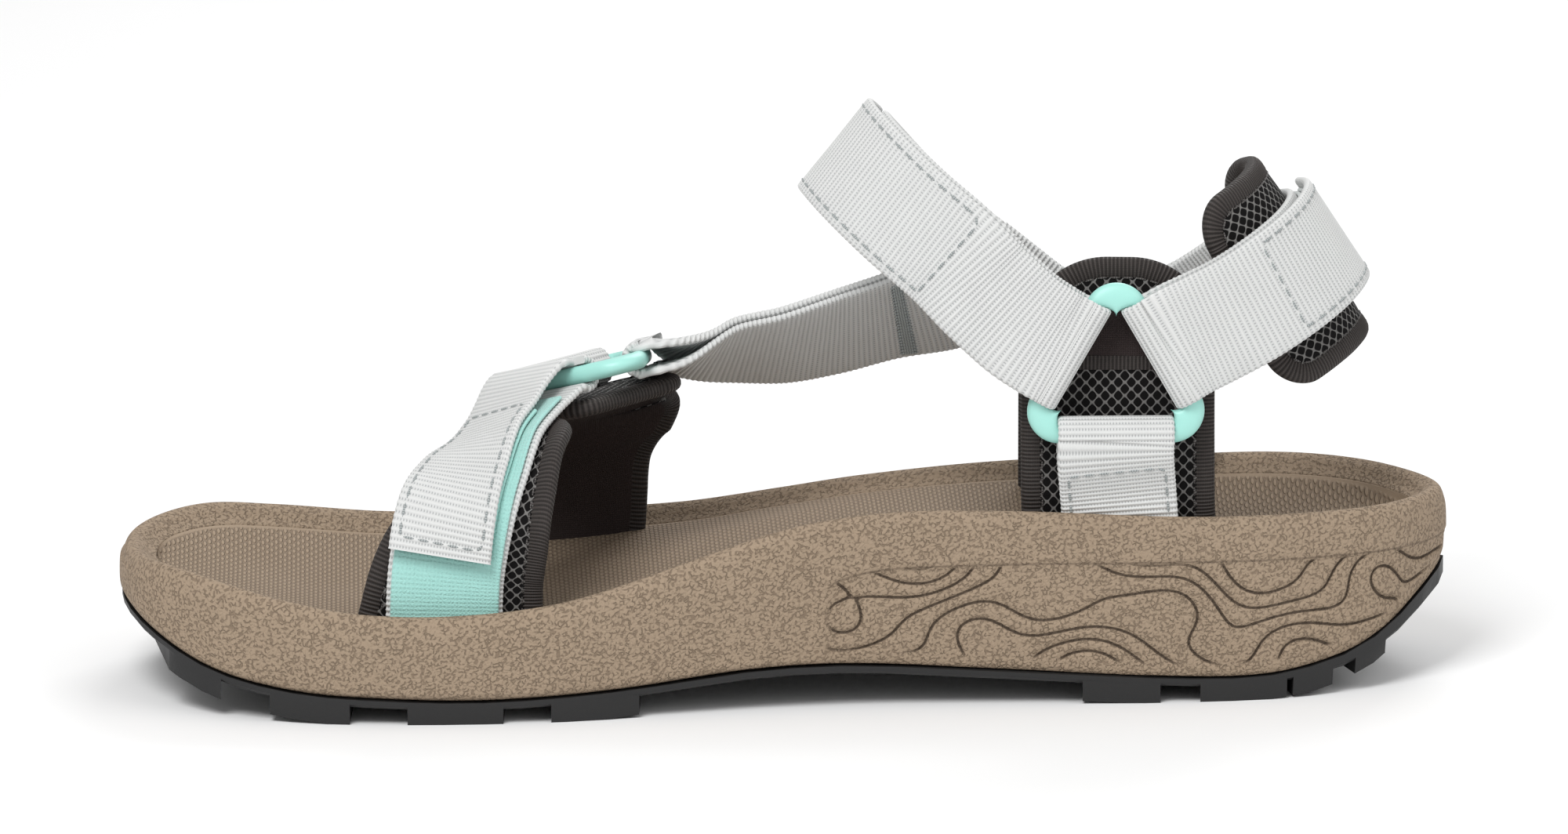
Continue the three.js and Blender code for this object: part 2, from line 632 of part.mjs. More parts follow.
// A strap up to and round the ring at centre, ending where its tab begins.
const strapToTab = (from, centre, away) => [
  ...run(from, centre + away * FOLD_START, 0),
  ...foldRound(centre, away),
  ...run(centre + away * FOLD_START, centre + away * (TAB_START - GAP), OVER_BAR),
];
const tab = (on, centre, away, end, width = WEB_WIDTH, shift = 0) =>
  webbing(on, run(centre + away * TAB_START, end, arched(centre)), width, WEB_THICK, shift);
const tape = (on, from, to, low, width = TAPE_WIDTH) =>
  webbing(on, run(from, to, low + TAPE_THICK / 2), width, TAPE_THICK);
// The instep and heel straps are sewn round the outer ring and fold round the inner one.
const ankleStrap = (on) =>
  webbing(on, [
    ...run(on.length - FOLD_START - 24, on.length - FOLD_START, settling(on.length, SEWN_DOWN, 12)),
    ...foldRound(on.length, -1).reverse(),
    ...strapToTab(on.length - FOLD_START, 0, 1),
  ]);
const sewnStrap = (on, centre, end, settle) => foldedStrap(on, end, centre, 1, end, settle);

const toePad = makePad(toeBand, {
  from: 4, to: 65, low: profile([[12, -17.5], [36, -12]]),
  high: profile([[4, 20], [30, 19], [46, 16.5], [64, 13.5]]),
  corner: [0, 12], open: true, skew: profile([[20, 0], [60, 0.2]]), ease: 0.5,
});
const outerFrontPad = makePad(outerFrontBand, {
  from: outerFrontBand.length - 3, to: 15, low: profile([[12, -11], [50, -16], [88, -18]]),
  high: profile([[12, 18], [28, 18.6], [38, 20.8], [48, 24], [58, 27.4], [72, 19.5], [88, 16.5]]),
  corner: [0, 7], open: true, skew: profile([[18, 0.28], [76, 0]]), ease: 5.5,
});
const heelPad = makePad(heelBand, {
  from: 29, to: heelBand.length - 47, low: () => -21.5, high: () => 21.5,
  corner: [9, 9],
});
const innerAnklePad = makePad(innerPadBand, {
  from: 7, to: innerPadBand.length - 1.5, low: () => -19.4, high: () => 19.4,
  corner: [0, 17], open: true,
});
const outerAnklePad = makePad(outerPadBand, {
  from: 7, to: outerPadBand.length, low: () => -19.4, high: () => 19.4,
  corner: [0, 17], open: true,
});

const pieces = {
  outsole: [outsole(), "rubber"],
  midsole: [midsole(), "foam"],
  shank: [shankSolid(0), "nylon"],
  footbed: [footbed(), "foam"],
  forefoot_ring: [ringGeometry(FRONT_RING), "ring"],
  ankle_inner_ring: [ringGeometry(INNER_RING), "ring"],
  ankle_outer_ring: [ringGeometry(OUTER_RING), "ring"],
  toe_strap: [webbing(toeBand, strapToTab(6, toeCentre, -1)), "webbing"],
  toe_tab: [tab(toeBand, toeCentre, -1, TOE_TAB_END, TOE_TAB_WIDTH, TOE_TAB_SHIFT), "webbing"],
  toe_loop_tape: [tape(toeBand, 12, toeCentre - 20, LOOP_LOW, TOE_LOOP_WIDTH), "teal_tape"],
  toe_hook_tape: [tape(toeBand, TOE_TAB_END + 2, toeCentre - 26, HOOK_LOW, TOE_HOOK_WIDTH), "teal_tape"],
  forefoot_outer_anchor: [sewnStrap(outerFrontBand, frontCentre, outerFrontBand.length - 3), "webbing"],
  diagonal_strap: [sewnStrap(diagonalBand, 0, diagonalBand.length), "webbing"],
  ankle_inner_anchor: [sewnStrap(innerAnkleBand, 0, innerAnkleBand.length - 6), "webbing"],
  ankle_outer_anchor: [sewnStrap(outerAnkleBand, 0, outerAnkleBand.length - 6, 7), "webbing"],
  instep_strap: [ankleStrap(instepBand), "webbing"],
  instep_tab: [tab(instepBand, 0, 1, INSTEP_TAB_END), "webbing"],
  instep_loop_tape: [tape(instepBand, 30, 98, LOOP_LOW), "grey_tape"],
  instep_hook_tape: [tape(instepBand, 40, INSTEP_TAB_END - 2, HOOK_LOW), "grey_tape"],
  heel_strap: [ankleStrap(heelBand), "webbing"],
  heel_tab: [tab(heelBand, 0, 1, HEEL_TAB_END), "webbing"],
  heel_loop_tape: [tape(heelBand, 28, 84, LOOP_LOW), "grey_tape"],
  heel_hook_tape: [tape(heelBand, 36, HEEL_TAB_END - 2, HOOK_LOW), "grey_tape"],
  forefoot_inner_pad: [toePad.pad, "mesh"],
  forefoot_inner_binding: [toePad.edge, "binding"],
  forefoot_outer_pad: [outerFrontPad.pad, "mesh"],
  forefoot_outer_binding: [outerFrontPad.edge, "binding"],
  heel_pad: [heelPad.pad, "mesh"],
  heel_binding: [heelPad.edge, "binding"],
  ankle_inner_pad: [innerAnklePad.pad, "mesh"],
  ankle_inner_binding: [innerAnklePad.edge, "binding"],
  ankle_outer_pad: [outerAnklePad.pad, "mesh"],
  ankle_outer_binding: [outerAnklePad.edge, "binding"],
};

const FINISH = {
  rubber: [0x141415, 0.75], foam: [0x8d7f70, 0.85], nylon: [0x2a2a2c, 0.5],
  ring: [0x8fd6ca, 0.42], webbing: [0xc9cdcb, 0.8], teal_tape: [0x9fdfd3, 0.9],
  grey_tape: [0xb9bcbb, 0.9], mesh: [0x3c3836, 0.9], binding: [0x48423f, 0.85],
};
const group = new THREE.Group();
for (const [name, [geometry, finish]] of Object.entries(pieces)) {
  const [color, roughness] = FINISH[finish];
  const material = new THREE.MeshStandardMaterial({ color, roughness, metalness: 0 });
  const mesh = new THREE.Mesh(geometry, material);
  mesh.name = name;
  group.add(mesh);
}
export default group;
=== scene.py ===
# %% [markdown]
# # A strappy sport sandal
# This lesson dresses a plain model of a right-foot sport sandal: a foam sole with a rubber tread,
# and an upper of webbing, padded patches, three plastic rings and three hook-and-loop tabs.
# The plain model gives every place and every hinge. Each soft piece of it is replaced here by a
# surface that has the real one's edges, ribs, crown and stitches, worked out with numpy.
# +X runs from toe to heel, +Y to the outer side of the foot, +Z up.

import bmesh
import bpy
import numpy as np
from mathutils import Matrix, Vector


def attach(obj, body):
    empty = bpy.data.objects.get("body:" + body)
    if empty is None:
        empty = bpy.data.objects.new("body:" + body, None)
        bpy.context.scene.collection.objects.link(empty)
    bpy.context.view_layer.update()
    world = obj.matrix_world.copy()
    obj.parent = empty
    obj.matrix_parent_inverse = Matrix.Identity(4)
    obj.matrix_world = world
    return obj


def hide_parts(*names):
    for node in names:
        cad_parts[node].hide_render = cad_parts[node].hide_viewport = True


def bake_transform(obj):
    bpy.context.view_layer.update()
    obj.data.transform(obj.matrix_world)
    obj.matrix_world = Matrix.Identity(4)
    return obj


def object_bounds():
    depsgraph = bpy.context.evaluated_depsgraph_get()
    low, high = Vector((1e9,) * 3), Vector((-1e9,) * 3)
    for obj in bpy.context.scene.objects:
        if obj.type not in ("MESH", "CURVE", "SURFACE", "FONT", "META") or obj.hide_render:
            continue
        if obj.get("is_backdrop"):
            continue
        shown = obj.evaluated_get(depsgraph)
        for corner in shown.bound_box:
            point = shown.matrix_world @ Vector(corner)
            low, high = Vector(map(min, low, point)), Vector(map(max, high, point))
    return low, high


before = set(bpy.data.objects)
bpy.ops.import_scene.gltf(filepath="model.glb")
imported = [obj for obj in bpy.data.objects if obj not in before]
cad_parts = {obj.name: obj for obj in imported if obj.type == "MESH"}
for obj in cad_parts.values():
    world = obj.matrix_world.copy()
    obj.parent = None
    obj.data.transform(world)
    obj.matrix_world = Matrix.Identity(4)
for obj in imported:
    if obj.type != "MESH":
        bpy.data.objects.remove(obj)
cad_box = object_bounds()
MM = 0.001  # the helpers work in millimetres, Blender in metres
print("overall size in mm:", [round(v / MM, 1) for v in (cad_box[1] - cad_box[0])])

# %% [markdown]
# ## Camera and light
# A long lens far away keeps the sandal's proportions, as in a catalogue picture: it looks at the
# inner side from a little above and slightly from the toe. A pale floor and a pale sky fill the
# shadows, and three soft lamps give the ribs and folds their shape.

# %% Camera
SENSOR = 36.0
DISTANCE = 2.5
WIDTH_SEEN = 0.316  # metres across the picture, at the sandal
aim = Vector((0, 0, 0.052))
azimuth, elevation = np.radians(-2), np.radians(12.5)
back = Vector((np.sin(azimuth) * np.cos(elevation), -np.cos(azimuth) * np.cos(elevation),
               np.sin(elevation)))
camera = bpy.data.objects.new("camera", bpy.data.cameras.new("camera"))
bpy.context.collection.objects.link(camera)
camera.data.sensor_width = SENSOR
camera.data.lens = SENSOR * DISTANCE / WIDTH_SEEN
camera.data.clip_end = 20
camera.location = aim + back * DISTANCE
camera.rotation_euler = (-back).to_track_quat("-Z", "Y").to_euler()
bpy.context.scene.camera = camera
print("camera aims at", [round(v, 4) for v in aim])


# %% Floor, sky and lamps
def lamp(name, place, size, power):
    """A square soft lamp, size metres wide and of power watts, that looks at the sandal's middle."""
    made = bpy.data.objects.new(name, bpy.data.lights.new(name, "AREA"))
    bpy.context.collection.objects.link(made)
    made.data.size = size
    made.data.energy = power
    made.location = place
    made.rotation_euler = (aim - Vector(place)).to_track_quat("-Z", "Y").to_euler()


lamp("key_lamp", (-0.45, -0.85, 1.15), 0.6, 14.0)
lamp("fill_lamp", (0.9, -0.5, 0.7), 0.9, 3.0)
lamp("rim_lamp", (0.3, 0.9, 0.8), 0.6, 4.5)
scene = bpy.context.scene
scene.view_settings.view_transform = "Standard"
scene.world = scene.world or bpy.data.worlds.new("sky")
scene.world.use_nodes = True
sky = scene.world.node_tree.nodes["Background"]
sky.inputs["Color"].default_value = (1, 1, 1, 1)
sky.inputs["Strength"].default_value = 0.55

# %% [markdown]
# ## Shader maths
# A finish is a small program of nodes. `Wire` wraps one node socket, so that `1 - ribs * 0.3`
# adds the Math nodes by itself. `Finish` holds a material and adds any other node by its type.


# %% Node helpers
class Wire:
    """A socket in a node tree. Arithmetic on it adds Math nodes."""

    def __init__(self, finish, socket):
        self.finish, self.socket = finish, socket

    def maths(self, operation, *values):
        return self.finish.node("Math", {"operation": operation}, list(values))

    def __add__(self, other):
        return self.maths("ADD", self, other)

    def __sub__(self, other):
        return self.maths("SUBTRACT", self, other)

    def __rsub__(self, other):
        return self.maths("SUBTRACT", other, self)

    def __mul__(self, other):
        return self.maths("MULTIPLY", self, other)

    def __truediv__(self, other):
        return self.maths("DIVIDE", self, other)

    __radd__, __rmul__ = __add__, __mul__

    def cos(self):
        return self.maths("COSINE", self)

    def size(self):
        return self.maths("ABSOLUTE", self)

    def wave(self, pitch):
        """A cosine of this value, from 0 to 1, that repeats every pitch."""
        return (self * (2 * np.pi / pitch)).cos() * 0.5 + 0.5

    def step(self, low, high):
        """0 below low, 1 above high, and smooth between."""
        settings = {"interpolation_type": "SMOOTHSTEP"}
        return self.finish.node("MapRange", settings, {"Value": self, "From Min": low, "From Max": high})


class Finish:
    """A material with one Principled shader, and the one method that adds nodes to it."""

    def __init__(self, name, **uniform):
        self.material = bpy.data.materials.new(name)
        self.material.use_nodes = True
        self.tree = self.material.node_tree
        self.shader = self.tree.nodes["Principled BSDF"]
        for socket, value in uniform.items():
            self.shader.inputs[socket.replace("_", " ")].default_value = value

    def plug(self, socket, value):
        if isinstance(value, Wire):
            self.tree.links.new(value.socket, socket)
        else:
            socket.default_value = value

    def node(self, kind, settings=None, inputs=(), output=0):
        made = self.tree.nodes.new("ShaderNode" + kind)
        for key, value in (settings or {}).items():
            setattr(made, key, value)
        pairs = inputs.items() if isinstance(inputs, dict) else enumerate(inputs)
        for key, value in pairs:
            self.plug(made.inputs[key], value)
        return Wire(self, made.outputs[output])

    def place(self, source="Object"):
        """The point's own coordinates: metres for Object, millimetres for UV."""
        return self.node("TexCoord", output=source)

    def axes(self, point):
        split = self.node("SeparateXYZ", None, [point]).socket.node
        return [Wire(self, s) for s in split.outputs]

    def noise(self, point, scale, detail=3.0):
        settings = {"noise_dimensions": "3D"}
        return self.node("TexNoise", settings, {"Vector": point, "Scale": scale, "Detail": detail})

    def mix(self, factor, a, b):
        settings = {"data_type": "RGBA"}
        return self.node("Mix", settings, {0: factor, 6: a, 7: b}, output=2)

    def paint(self, colour, roughness=None, height=None, depth=0.0):
        """Links the colour, the roughness and a bump of depth millimetres to the shader."""
        self.plug(self.shader.inputs["Base Color"], colour)
        if roughness is not None:
            self.plug(self.shader.inputs["Roughness"], roughness)
        if height is not None:
            bump = self.node("Bump", None, {"Distance": depth * MM, "Height": height})
            self.plug(self.shader.inputs["Normal"], bump)
        return self.material


print("helpers:", Wire.__name__, "and", Finish.__name__)

# %% [markdown]
# ## The finishes
# Foam has a fine pebbled skin, webbing is a ribbed weave with a fleck of shadow between its
# ribs, the tape is a soft nap, the pads are a net of wavy filaments over black, and the binding
# is a narrow grosgrain. On cloth the patterns read the piece's own UV map, in millimetres along and
# across the weave, so that they follow every bend. On the sole they read Object coordinates.

# %% Foam and rubber
TAUPE = (0.345, 0.262, 0.186, 1)
# The foam's darker tone: painted shade for creases and hollows, and a random mottle.
TAUPE_SHADE_AND_MOTTLE = (0.165, 0.120, 0.082, 1)
# Nearly black: painted shade in the engraved lines and under the ledge.
TAUPE_GROOVE_SHADE = (0.055, 0.038, 0.026, 1)


def foam_finish():
    """Pebbles 0.9 mm across with broken creases between, the creases painted darker as shade. A line is
    engraved where level is whole and painted nearly black as shade in its groove: pingpong(level, 1/2) /
    slope is the distance to it in millimetres, and marked is where it shows.
    Under is the depth below the ledge, whose own line, painted shade under the ledge, shows where it has
    begun."""
    f = Finish("sole_foam", Roughness=0.8, Specular_IOR_Level=0.25)
    here = f.place()
    warped = f.node("VectorMath", {"operation": "MULTIPLY_ADD"},
                    [f.noise(here, 900, 1.0), (0.0009, 0.0009, 0.0009), here])
    cells = f.node("TexVoronoi", {"feature": "DISTANCE_TO_EDGE"}, {"Vector": warped, "Scale": 1050.0})
    crease = (1 - cells.step(0.02, 0.2)) * f.noise(here, 1300, 0.0).step(0.40, 0.60)
    cloud = f.noise(here, 60)
    level, slope, marked, under, begun = (f.node("Attribute", {"attribute_name": key}, output="Fac")
                                          for key in ("level", "slope", "marked", "under", "begun"))
    away = level.maths("PINGPONG", level, 0.5) / slope
    # Painted shade: the engraved lines and a band just under the ledge are darkened.
    line = (1 - away.step(0.14, 0.36)) * marked
    ledge = 1 - under.size().step(0.12, 0.34)
    # Painted shade: the creases are darkened, with a random cloud of tone on top.
    shade = crease * 0.62 + cloud * 0.2
    colour = f.mix(line * 0.9 + ledge * begun * 0.4, f.mix(shade, TAUPE, TAUPE_SHADE_AND_MOTTLE), TAUPE_GROOVE_SHADE)
    height = cells.step(0.0, 0.35) * 0.5 - crease * 0.6 - line
    return f.paint(colour, 0.72 + cloud * 0.16, height, 0.22)


def honeycomb(x, y, wide, tall):
    """cos a + cos b + cos c, along three directions: 3 in a cell's middle, -1.5 at its corners.
    The cells of a row are 2 wide apart, and two rows are 0.58 tall apart."""
    lean, rise = x * (np.pi / wide), y * (2 * np.pi / tall / 1.155)
    return (lean * 2).cos() + (lean + rise).cos() + (lean - rise).cos()


def footbed_finish():
    """Scales: a honeycomb of cells 1.8 mm apart, as far as the footbed's edge, with painted shade in the
    hollows between them.
    """
    f = Finish("footbed_foam", Roughness=0.8, Specular_IOR_Level=0.25)
    here = f.place()
    x, y, _ = f.axes(here)
    scale = honeycomb(x / MM, y / MM, 0.9, 2.5).step(-1.2, 0.6)
    inside = f.node("Attribute", {"attribute_name": "textured"}, output="Fac")
    fine = f.noise(here, 2600, 2.0)
    cloud = f.noise(here, 45)
    # Painted shade: the hollows between the scales are darkened; the cloud is a random tone.
    shade = (1 - scale) * inside * 0.5 + cloud * 0.2
    colour = f.mix(shade, TAUPE, TAUPE_SHADE_AND_MOTTLE)
    height = scale * inside + fine * 0.12
    return f.paint(colour, 0.70 + cloud * 0.15, height, 0.4)


def rubber_finish():
    """Moulded rubber: dark, a little cloudy, with a fine grain."""
    f = Finish("tread_rubber", Roughness=0.6)
    here = f.place()
    cloud = f.noise(here, 90)
    grain = f.noise(here, 1500, 2.0)
    colour = f.mix(cloud * 0.5, (0.007, 0.007, 0.0075, 1), (0.020, 0.0195, 0.019, 1))
    return f.paint(colour, 0.45 + cloud * 0.25, grain, 0.05)


print("foam in the light and in its creases:", TAUPE[:3], TAUPE_SHADE_AND_MOTTLE[:3])

# %% Cloth and plastic
RIB = 1.06  # from one weft rib to the next, in millimetres
GREY = (0.685, 0.69, 0.68, 1)
# The webbing's darker tone: painted shade in the valleys between ribs, and a random mottle.
GREY_SHADE_AND_MOTTLE = (0.29, 0.30, 0.305, 1)


def webbing_finish(name="webbing", light=GREY, dark=GREY_SHADE_AND_MOTTLE):
    """Ribs across and yarns along, with the valleys between ribs painted darker as shade, and a painted
    dark fleck of shade where two yarns cross in a valley.
    """
    f = Finish(name, Roughness=0.62, Sheen_Weight=0.25, Sheen_Roughness=0.4)
    along, across, _ = f.axes(f.place("UV"))
    rib = along.wave(RIB)
    fleck = across.wave(0.62) * (1 - rib)
    yarn = across.wave(0.31)
    cloud = f.noise(f.place("UV"), 0.16)
    # Painted shade: darker in the valleys between ribs and in the flecks where yarns cross there; the
    # cloud is a random tone.
    shade = (1 - rib) * 0.2 + fleck.step(0.4, 0.9) * 0.6 + cloud * 0.12
    height = rib + yarn * rib * 0.35
    return f.paint(f.mix(shade, light, dark), 0.5 + (1 - rib) * 0.3, height, 0.14)


def tape_finish(name, light, dark):
    """Nap: a fine random pile over a faint square weave."""
    f = Finish(name, Roughness=0.9, Sheen_Weight=0.6, Sheen_Roughness=0.5)
    here = f.place("UV")
    along, across, _ = f.axes(here)
    pile = f.noise(here, 3.2, 4.0)
    weave = along.wave(0.8) * across.wave(0.8)
    cloud = f.noise(here, 0.3)
    shade = pile * 0.35 + weave * 0.15 + cloud * 0.25
    return f.paint(f.mix(shade, light, dark), 0.75 + pile * 0.2, pile + weave * 0.4, 0.25)


NET_ACROSS, NET_ALONG, NET_SWING = 2.6, 2.7, 0.88


def mesh_finish():
    """Spacer mesh: grey filaments over black. One runs where cos(2 pi v / NET_ACROSS) plus
    NET_SWING cos(2 pi u / NET_ALONG) is 0, with u along the pad and v across it."""
    f = Finish("spacer_mesh", Roughness=0.7, Specular_IOR_Level=0.15)
    along, across, _ = f.axes(f.place("UV"))
    swing = (along * (2 * np.pi / NET_ALONG)).cos() * NET_SWING
    net = (across * (2 * np.pi / NET_ACROSS)).cos() + swing
    wall = 1 - net.size().step(0.2, 0.6)
    strand = (along + across).wave(0.28)
    cloud = f.noise(f.place("UV"), 0.2)
    thread = f.mix(strand * 0.5 + cloud * 0.3, (0.30, 0.29, 0.28, 1), (0.13, 0.125, 0.12, 1))
    colour = f.mix(wall, (0.004, 0.0035, 0.0035, 1), thread)
    return f.paint(colour, 0.85 - wall * 0.3, wall + strand * wall * 0.2, 0.5)


def lining_finish():
    """Smooth knit: rows of tiny loops, too fine to count, with a faint bloom."""
    f = Finish("knit_lining", Roughness=0.85, Sheen_Weight=0.08, Sheen_Roughness=0.4,
               Specular_IOR_Level=0.2)
    here = f.place("UV")
    along, across, _ = f.axes(here)
    loop = along.wave(0.45) * across.wave(0.45)
    cloud = f.noise(here, 0.12)
    colour = f.mix(loop * 0.4 + cloud * 0.4, (0.040, 0.029, 0.028, 1), (0.018, 0.013, 0.012, 1))
    return f.paint(colour, 0.8 + cloud * 0.1, loop, 0.1)


BINDING_RIB = 0.78


def binding_finish():
    """Grosgrain: ribs across the tape, their tops painted lighter and the hollows between painted nearly
    black, as shade.
    """
    f = Finish("grosgrain", Roughness=0.6, Sheen_Weight=0.05, Sheen_Roughness=0.4,
               Specular_IOR_Level=0.3)
    along, across, _ = f.axes(f.place("UV"))
    rib = along.wave(BINDING_RIB)
    yarn = across.wave(0.36)
    cloud = f.noise(f.place("UV"), 0.2)
    # Painted shade: the hollows between ribs are darkened nearly to black; the yarn and cloud terms are
    # pattern and random tone.
    shade = (1 - rib) * 0.6 + yarn * 0.15 + cloud * 0.15
    colour = f.mix(shade, (0.058, 0.048, 0.044, 1), (0.006, 0.005, 0.0045, 1))
    return f.paint(colour, 0.5 + (1 - rib) * 0.3, rib + yarn * 0.25, 0.16)


def ring_finish():
    """Moulded plastic: satin, with a faint cloud in its colour."""
    f = Finish("satin_plastic", Roughness=0.38)
    cloud = f.noise(f.place(), 120)
    grain = f.noise(f.place(), 1800, 2.0)
    colour = f.mix(cloud * 0.4, (0.37, 0.73, 0.655, 1), (0.31, 0.64, 0.575, 1))
    return f.paint(colour, 0.32 + cloud * 0.16, grain, 0.02)


def thread_finish(name, light, dark):
    """Twisted thread: a slanting stripe along each stitch."""
    f = Finish(name, Roughness=0.6)
    along, across, _ = f.axes(f.place("UV"))
    twist = (along + across * 0.6).wave(0.5)
    return f.paint(f.mix(twist, light, dark), 0.5 + twist * 0.2, twist, 0.05)


TEAL, TEAL_DARK = (0.40, 0.71, 0.655, 1), (0.22, 0.50, 0.455, 1)
finishes = {
    "foam": foam_finish(),
    "footbed": footbed_finish(),
    "rubber": rubber_finish(),
    "webbing": webbing_finish(),
    "teal_tape": tape_finish("teal_tape", TEAL, TEAL_DARK),
    "grey_tape": tape_finish("grey_tape", (0.60, 0.63, 0.62, 1), (0.30, 0.33, 0.32, 1)),
    "mesh": mesh_finish(),
    "lining": lining_finish(),
    "binding": binding_finish(),
    "ring": ring_finish(),
    "grey_thread": thread_finish("grey_thread", (0.42, 0.45, 0.45, 1), (0.20, 0.22, 0.22, 1)),
    "dark_thread": thread_finish("dark_thread", (0.11, 0.10, 0.095, 1), (0.03, 0.027, 0.026, 1)),
}
print(len(finishes), "finishes")

# %% [markdown]
# ## From arrays to meshes
# Every new piece is a grid of points. `grid_faces` lists the grid's four-sided faces in one
# array, and `make_piece` turns points, faces, UV map and attributes into a mesh whose faces point
# out. A closed shape repeats its first row at its end, and welding joins the two.


# %% Mesh helpers
def grid_faces(rows, columns, wrap=False):
    """Faces of a grid whose points are numbered row by row. A wrapped grid closes its columns."""
    numbers = np.arange(rows * columns).reshape(rows, columns)
    if wrap:
        numbers = np.concatenate([numbers, numbers[:, :1]], axis=1)
    corners = [numbers[:-1, :-1], numbers[:-1, 1:], numbers[1:, 1:], numbers[1:, :-1]]
    return np.stack([c.ravel() for c in corners], axis=1)


def outward(points, faces):
    """The faces, turned over if the volume they enclose comes out negative."""
    p = points - points.mean(axis=0)
    a, b, c, d = (p[faces[:, k]] for k in range(4))
    volume = np.einsum("ij,ij->", a, np.cross(b, c)) + np.einsum("ij,ij->", a, np.cross(c, d))
    return (faces, 1) if volume > 0 else (faces[:, ::-1], -1)


def make_piece(name, points, faces, caps=(), uv=None, values=None, weld=False, sharp=None):
    """A mesh object in place, from points in millimetres. caps are the end faces' point numbers."""
    faces, way = outward(points, faces)
    mesh = bpy.data.meshes.new(name)
    mesh.from_pydata((points * MM).tolist(), [], faces.tolist() + [list(c)[::way] for c in caps])
    if uv is not None:
        corner = np.empty(len(mesh.loops), dtype=int)
        mesh.loops.foreach_get("vertex_index", corner)
        mesh.uv_layers.new(name="weave").data.foreach_set("uv", uv[corner].ravel())
    for key, value in (values or {}).items():
        mesh.attributes.new(key, "FLOAT", "POINT").data.foreach_set("value", value)
    if weld:
        work = bmesh.new()
        work.from_mesh(mesh)
        bmesh.ops.remove_doubles(work, verts=work.verts, dist=1e-6)
        work.to_mesh(mesh)
        work.free()
    mesh.polygons.foreach_set("use_smooth", np.ones(len(mesh.polygons), dtype=bool))
    if sharp:
        mesh.set_sharp_from_angle(angle=np.radians(sharp))
    made = bpy.data.objects.new(name, mesh)
    bpy.context.collection.objects.link(made)
    return made


def dress(piece, finish, slot, body="sandal", stands_for=()):
    """The piece's finish, the body it moves with and the plain nodes it replaces, which it hides; slot
    is not used.
    """
    piece.data.materials.append(finishes[finish])
    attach(piece, body)
    if stands_for:
        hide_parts(*stands_for)
    print(piece.name, len(piece.data.polygons), "faces")
    return piece


floor = make_piece("floor", np.array([[-4000, -4000, 0], [4000, -4000, 0], [4000, 4000, 0],
                                      [-4000, 4000, 0.0]]), np.array([[0, 1, 2, 3]]))
pale = Finish("floor_paper", Roughness=0.9)
pale.paint(pale.mix(pale.noise(pale.place(), 3.0), (0.90, 0.90, 0.90, 1), (0.88, 0.88, 0.88, 1)))
floor.data.materials.append(pale.material)
floor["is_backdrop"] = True
print("the floor has", len(floor.data.polygons), "face, and the lamps' light falls on it")

# %% [markdown]
# ## Curves and bands
# A strap lies on a band: a smooth curve with a width direction at each of its points. u runs
# along it, v across it and n out of it, so a strap, its stitches and the pad under it can all be
# drawn flat, in u and v, and placed on the same band. `profile` gives values that change
# smoothly along a piece from a few chosen points.


# %% Curves
def spline(points, t, closed=False):
    """Catmull-Rom: between two points, the cubic whose slopes are half of its neighbours' chord."""
    p = np.asarray(points, float)
    spans = len(p) if closed else len(p) - 1
    p = np.vstack([p[-1:], p, p[:2]]) if closed else np.vstack([2 * p[0] - p[1], p, 2 * p[-1] - p[-2]])
    s = np.clip(t, 0, 1) * spans
    i = np.minimum(s.astype(int), spans - 1)
    w = (s - i)[..., None]
    a, b, c, d = (p[i + k] for k in range(4))
    m0, m1 = (c - a) / 2, (d - b) / 2
    return b + w * (m0 + w * (3 * (c - b) - 2 * m0 - m1 + w * (m0 + m1 - 2 * (c - b))))


def profile(points):
    """y(x) through a few points: a cubic on each span, level beyond the ends."""
    x, y = np.array(points, float).T
    before, after = np.maximum(np.arange(len(x)) - 1, 0), np.minimum(np.arange(len(x)) + 1, len(x) - 1)
    slope = (y[after] - y[before]) / (x[after] - x[before])

    def value(at):
        at = np.clip(at, x[0], x[-1])
        i = np.clip(np.searchsorted(x, at, side="right") - 1, 0, len(x) - 2)
        span = x[i + 1] - x[i]
        t = (at - x[i]) / span
        rise, m0, m1 = y[i + 1] - y[i], slope[i] * span, slope[i + 1] * span
        return y[i] + t * (m0 + t * (3 * rise - 2 * m0 - m1 + t * (m0 + m1 - 2 * rise)))

    return value


def smooth(t):
    t = np.clip(t, 0, 1)
    return t * t * (3 - 2 * t)


def unit(v):
    return v / np.linalg.norm(v, axis=-1, keepdims=True)


print("half-way up a profile from 0 to 1:", profile([(0, 0), (10, 1)])(5.0))

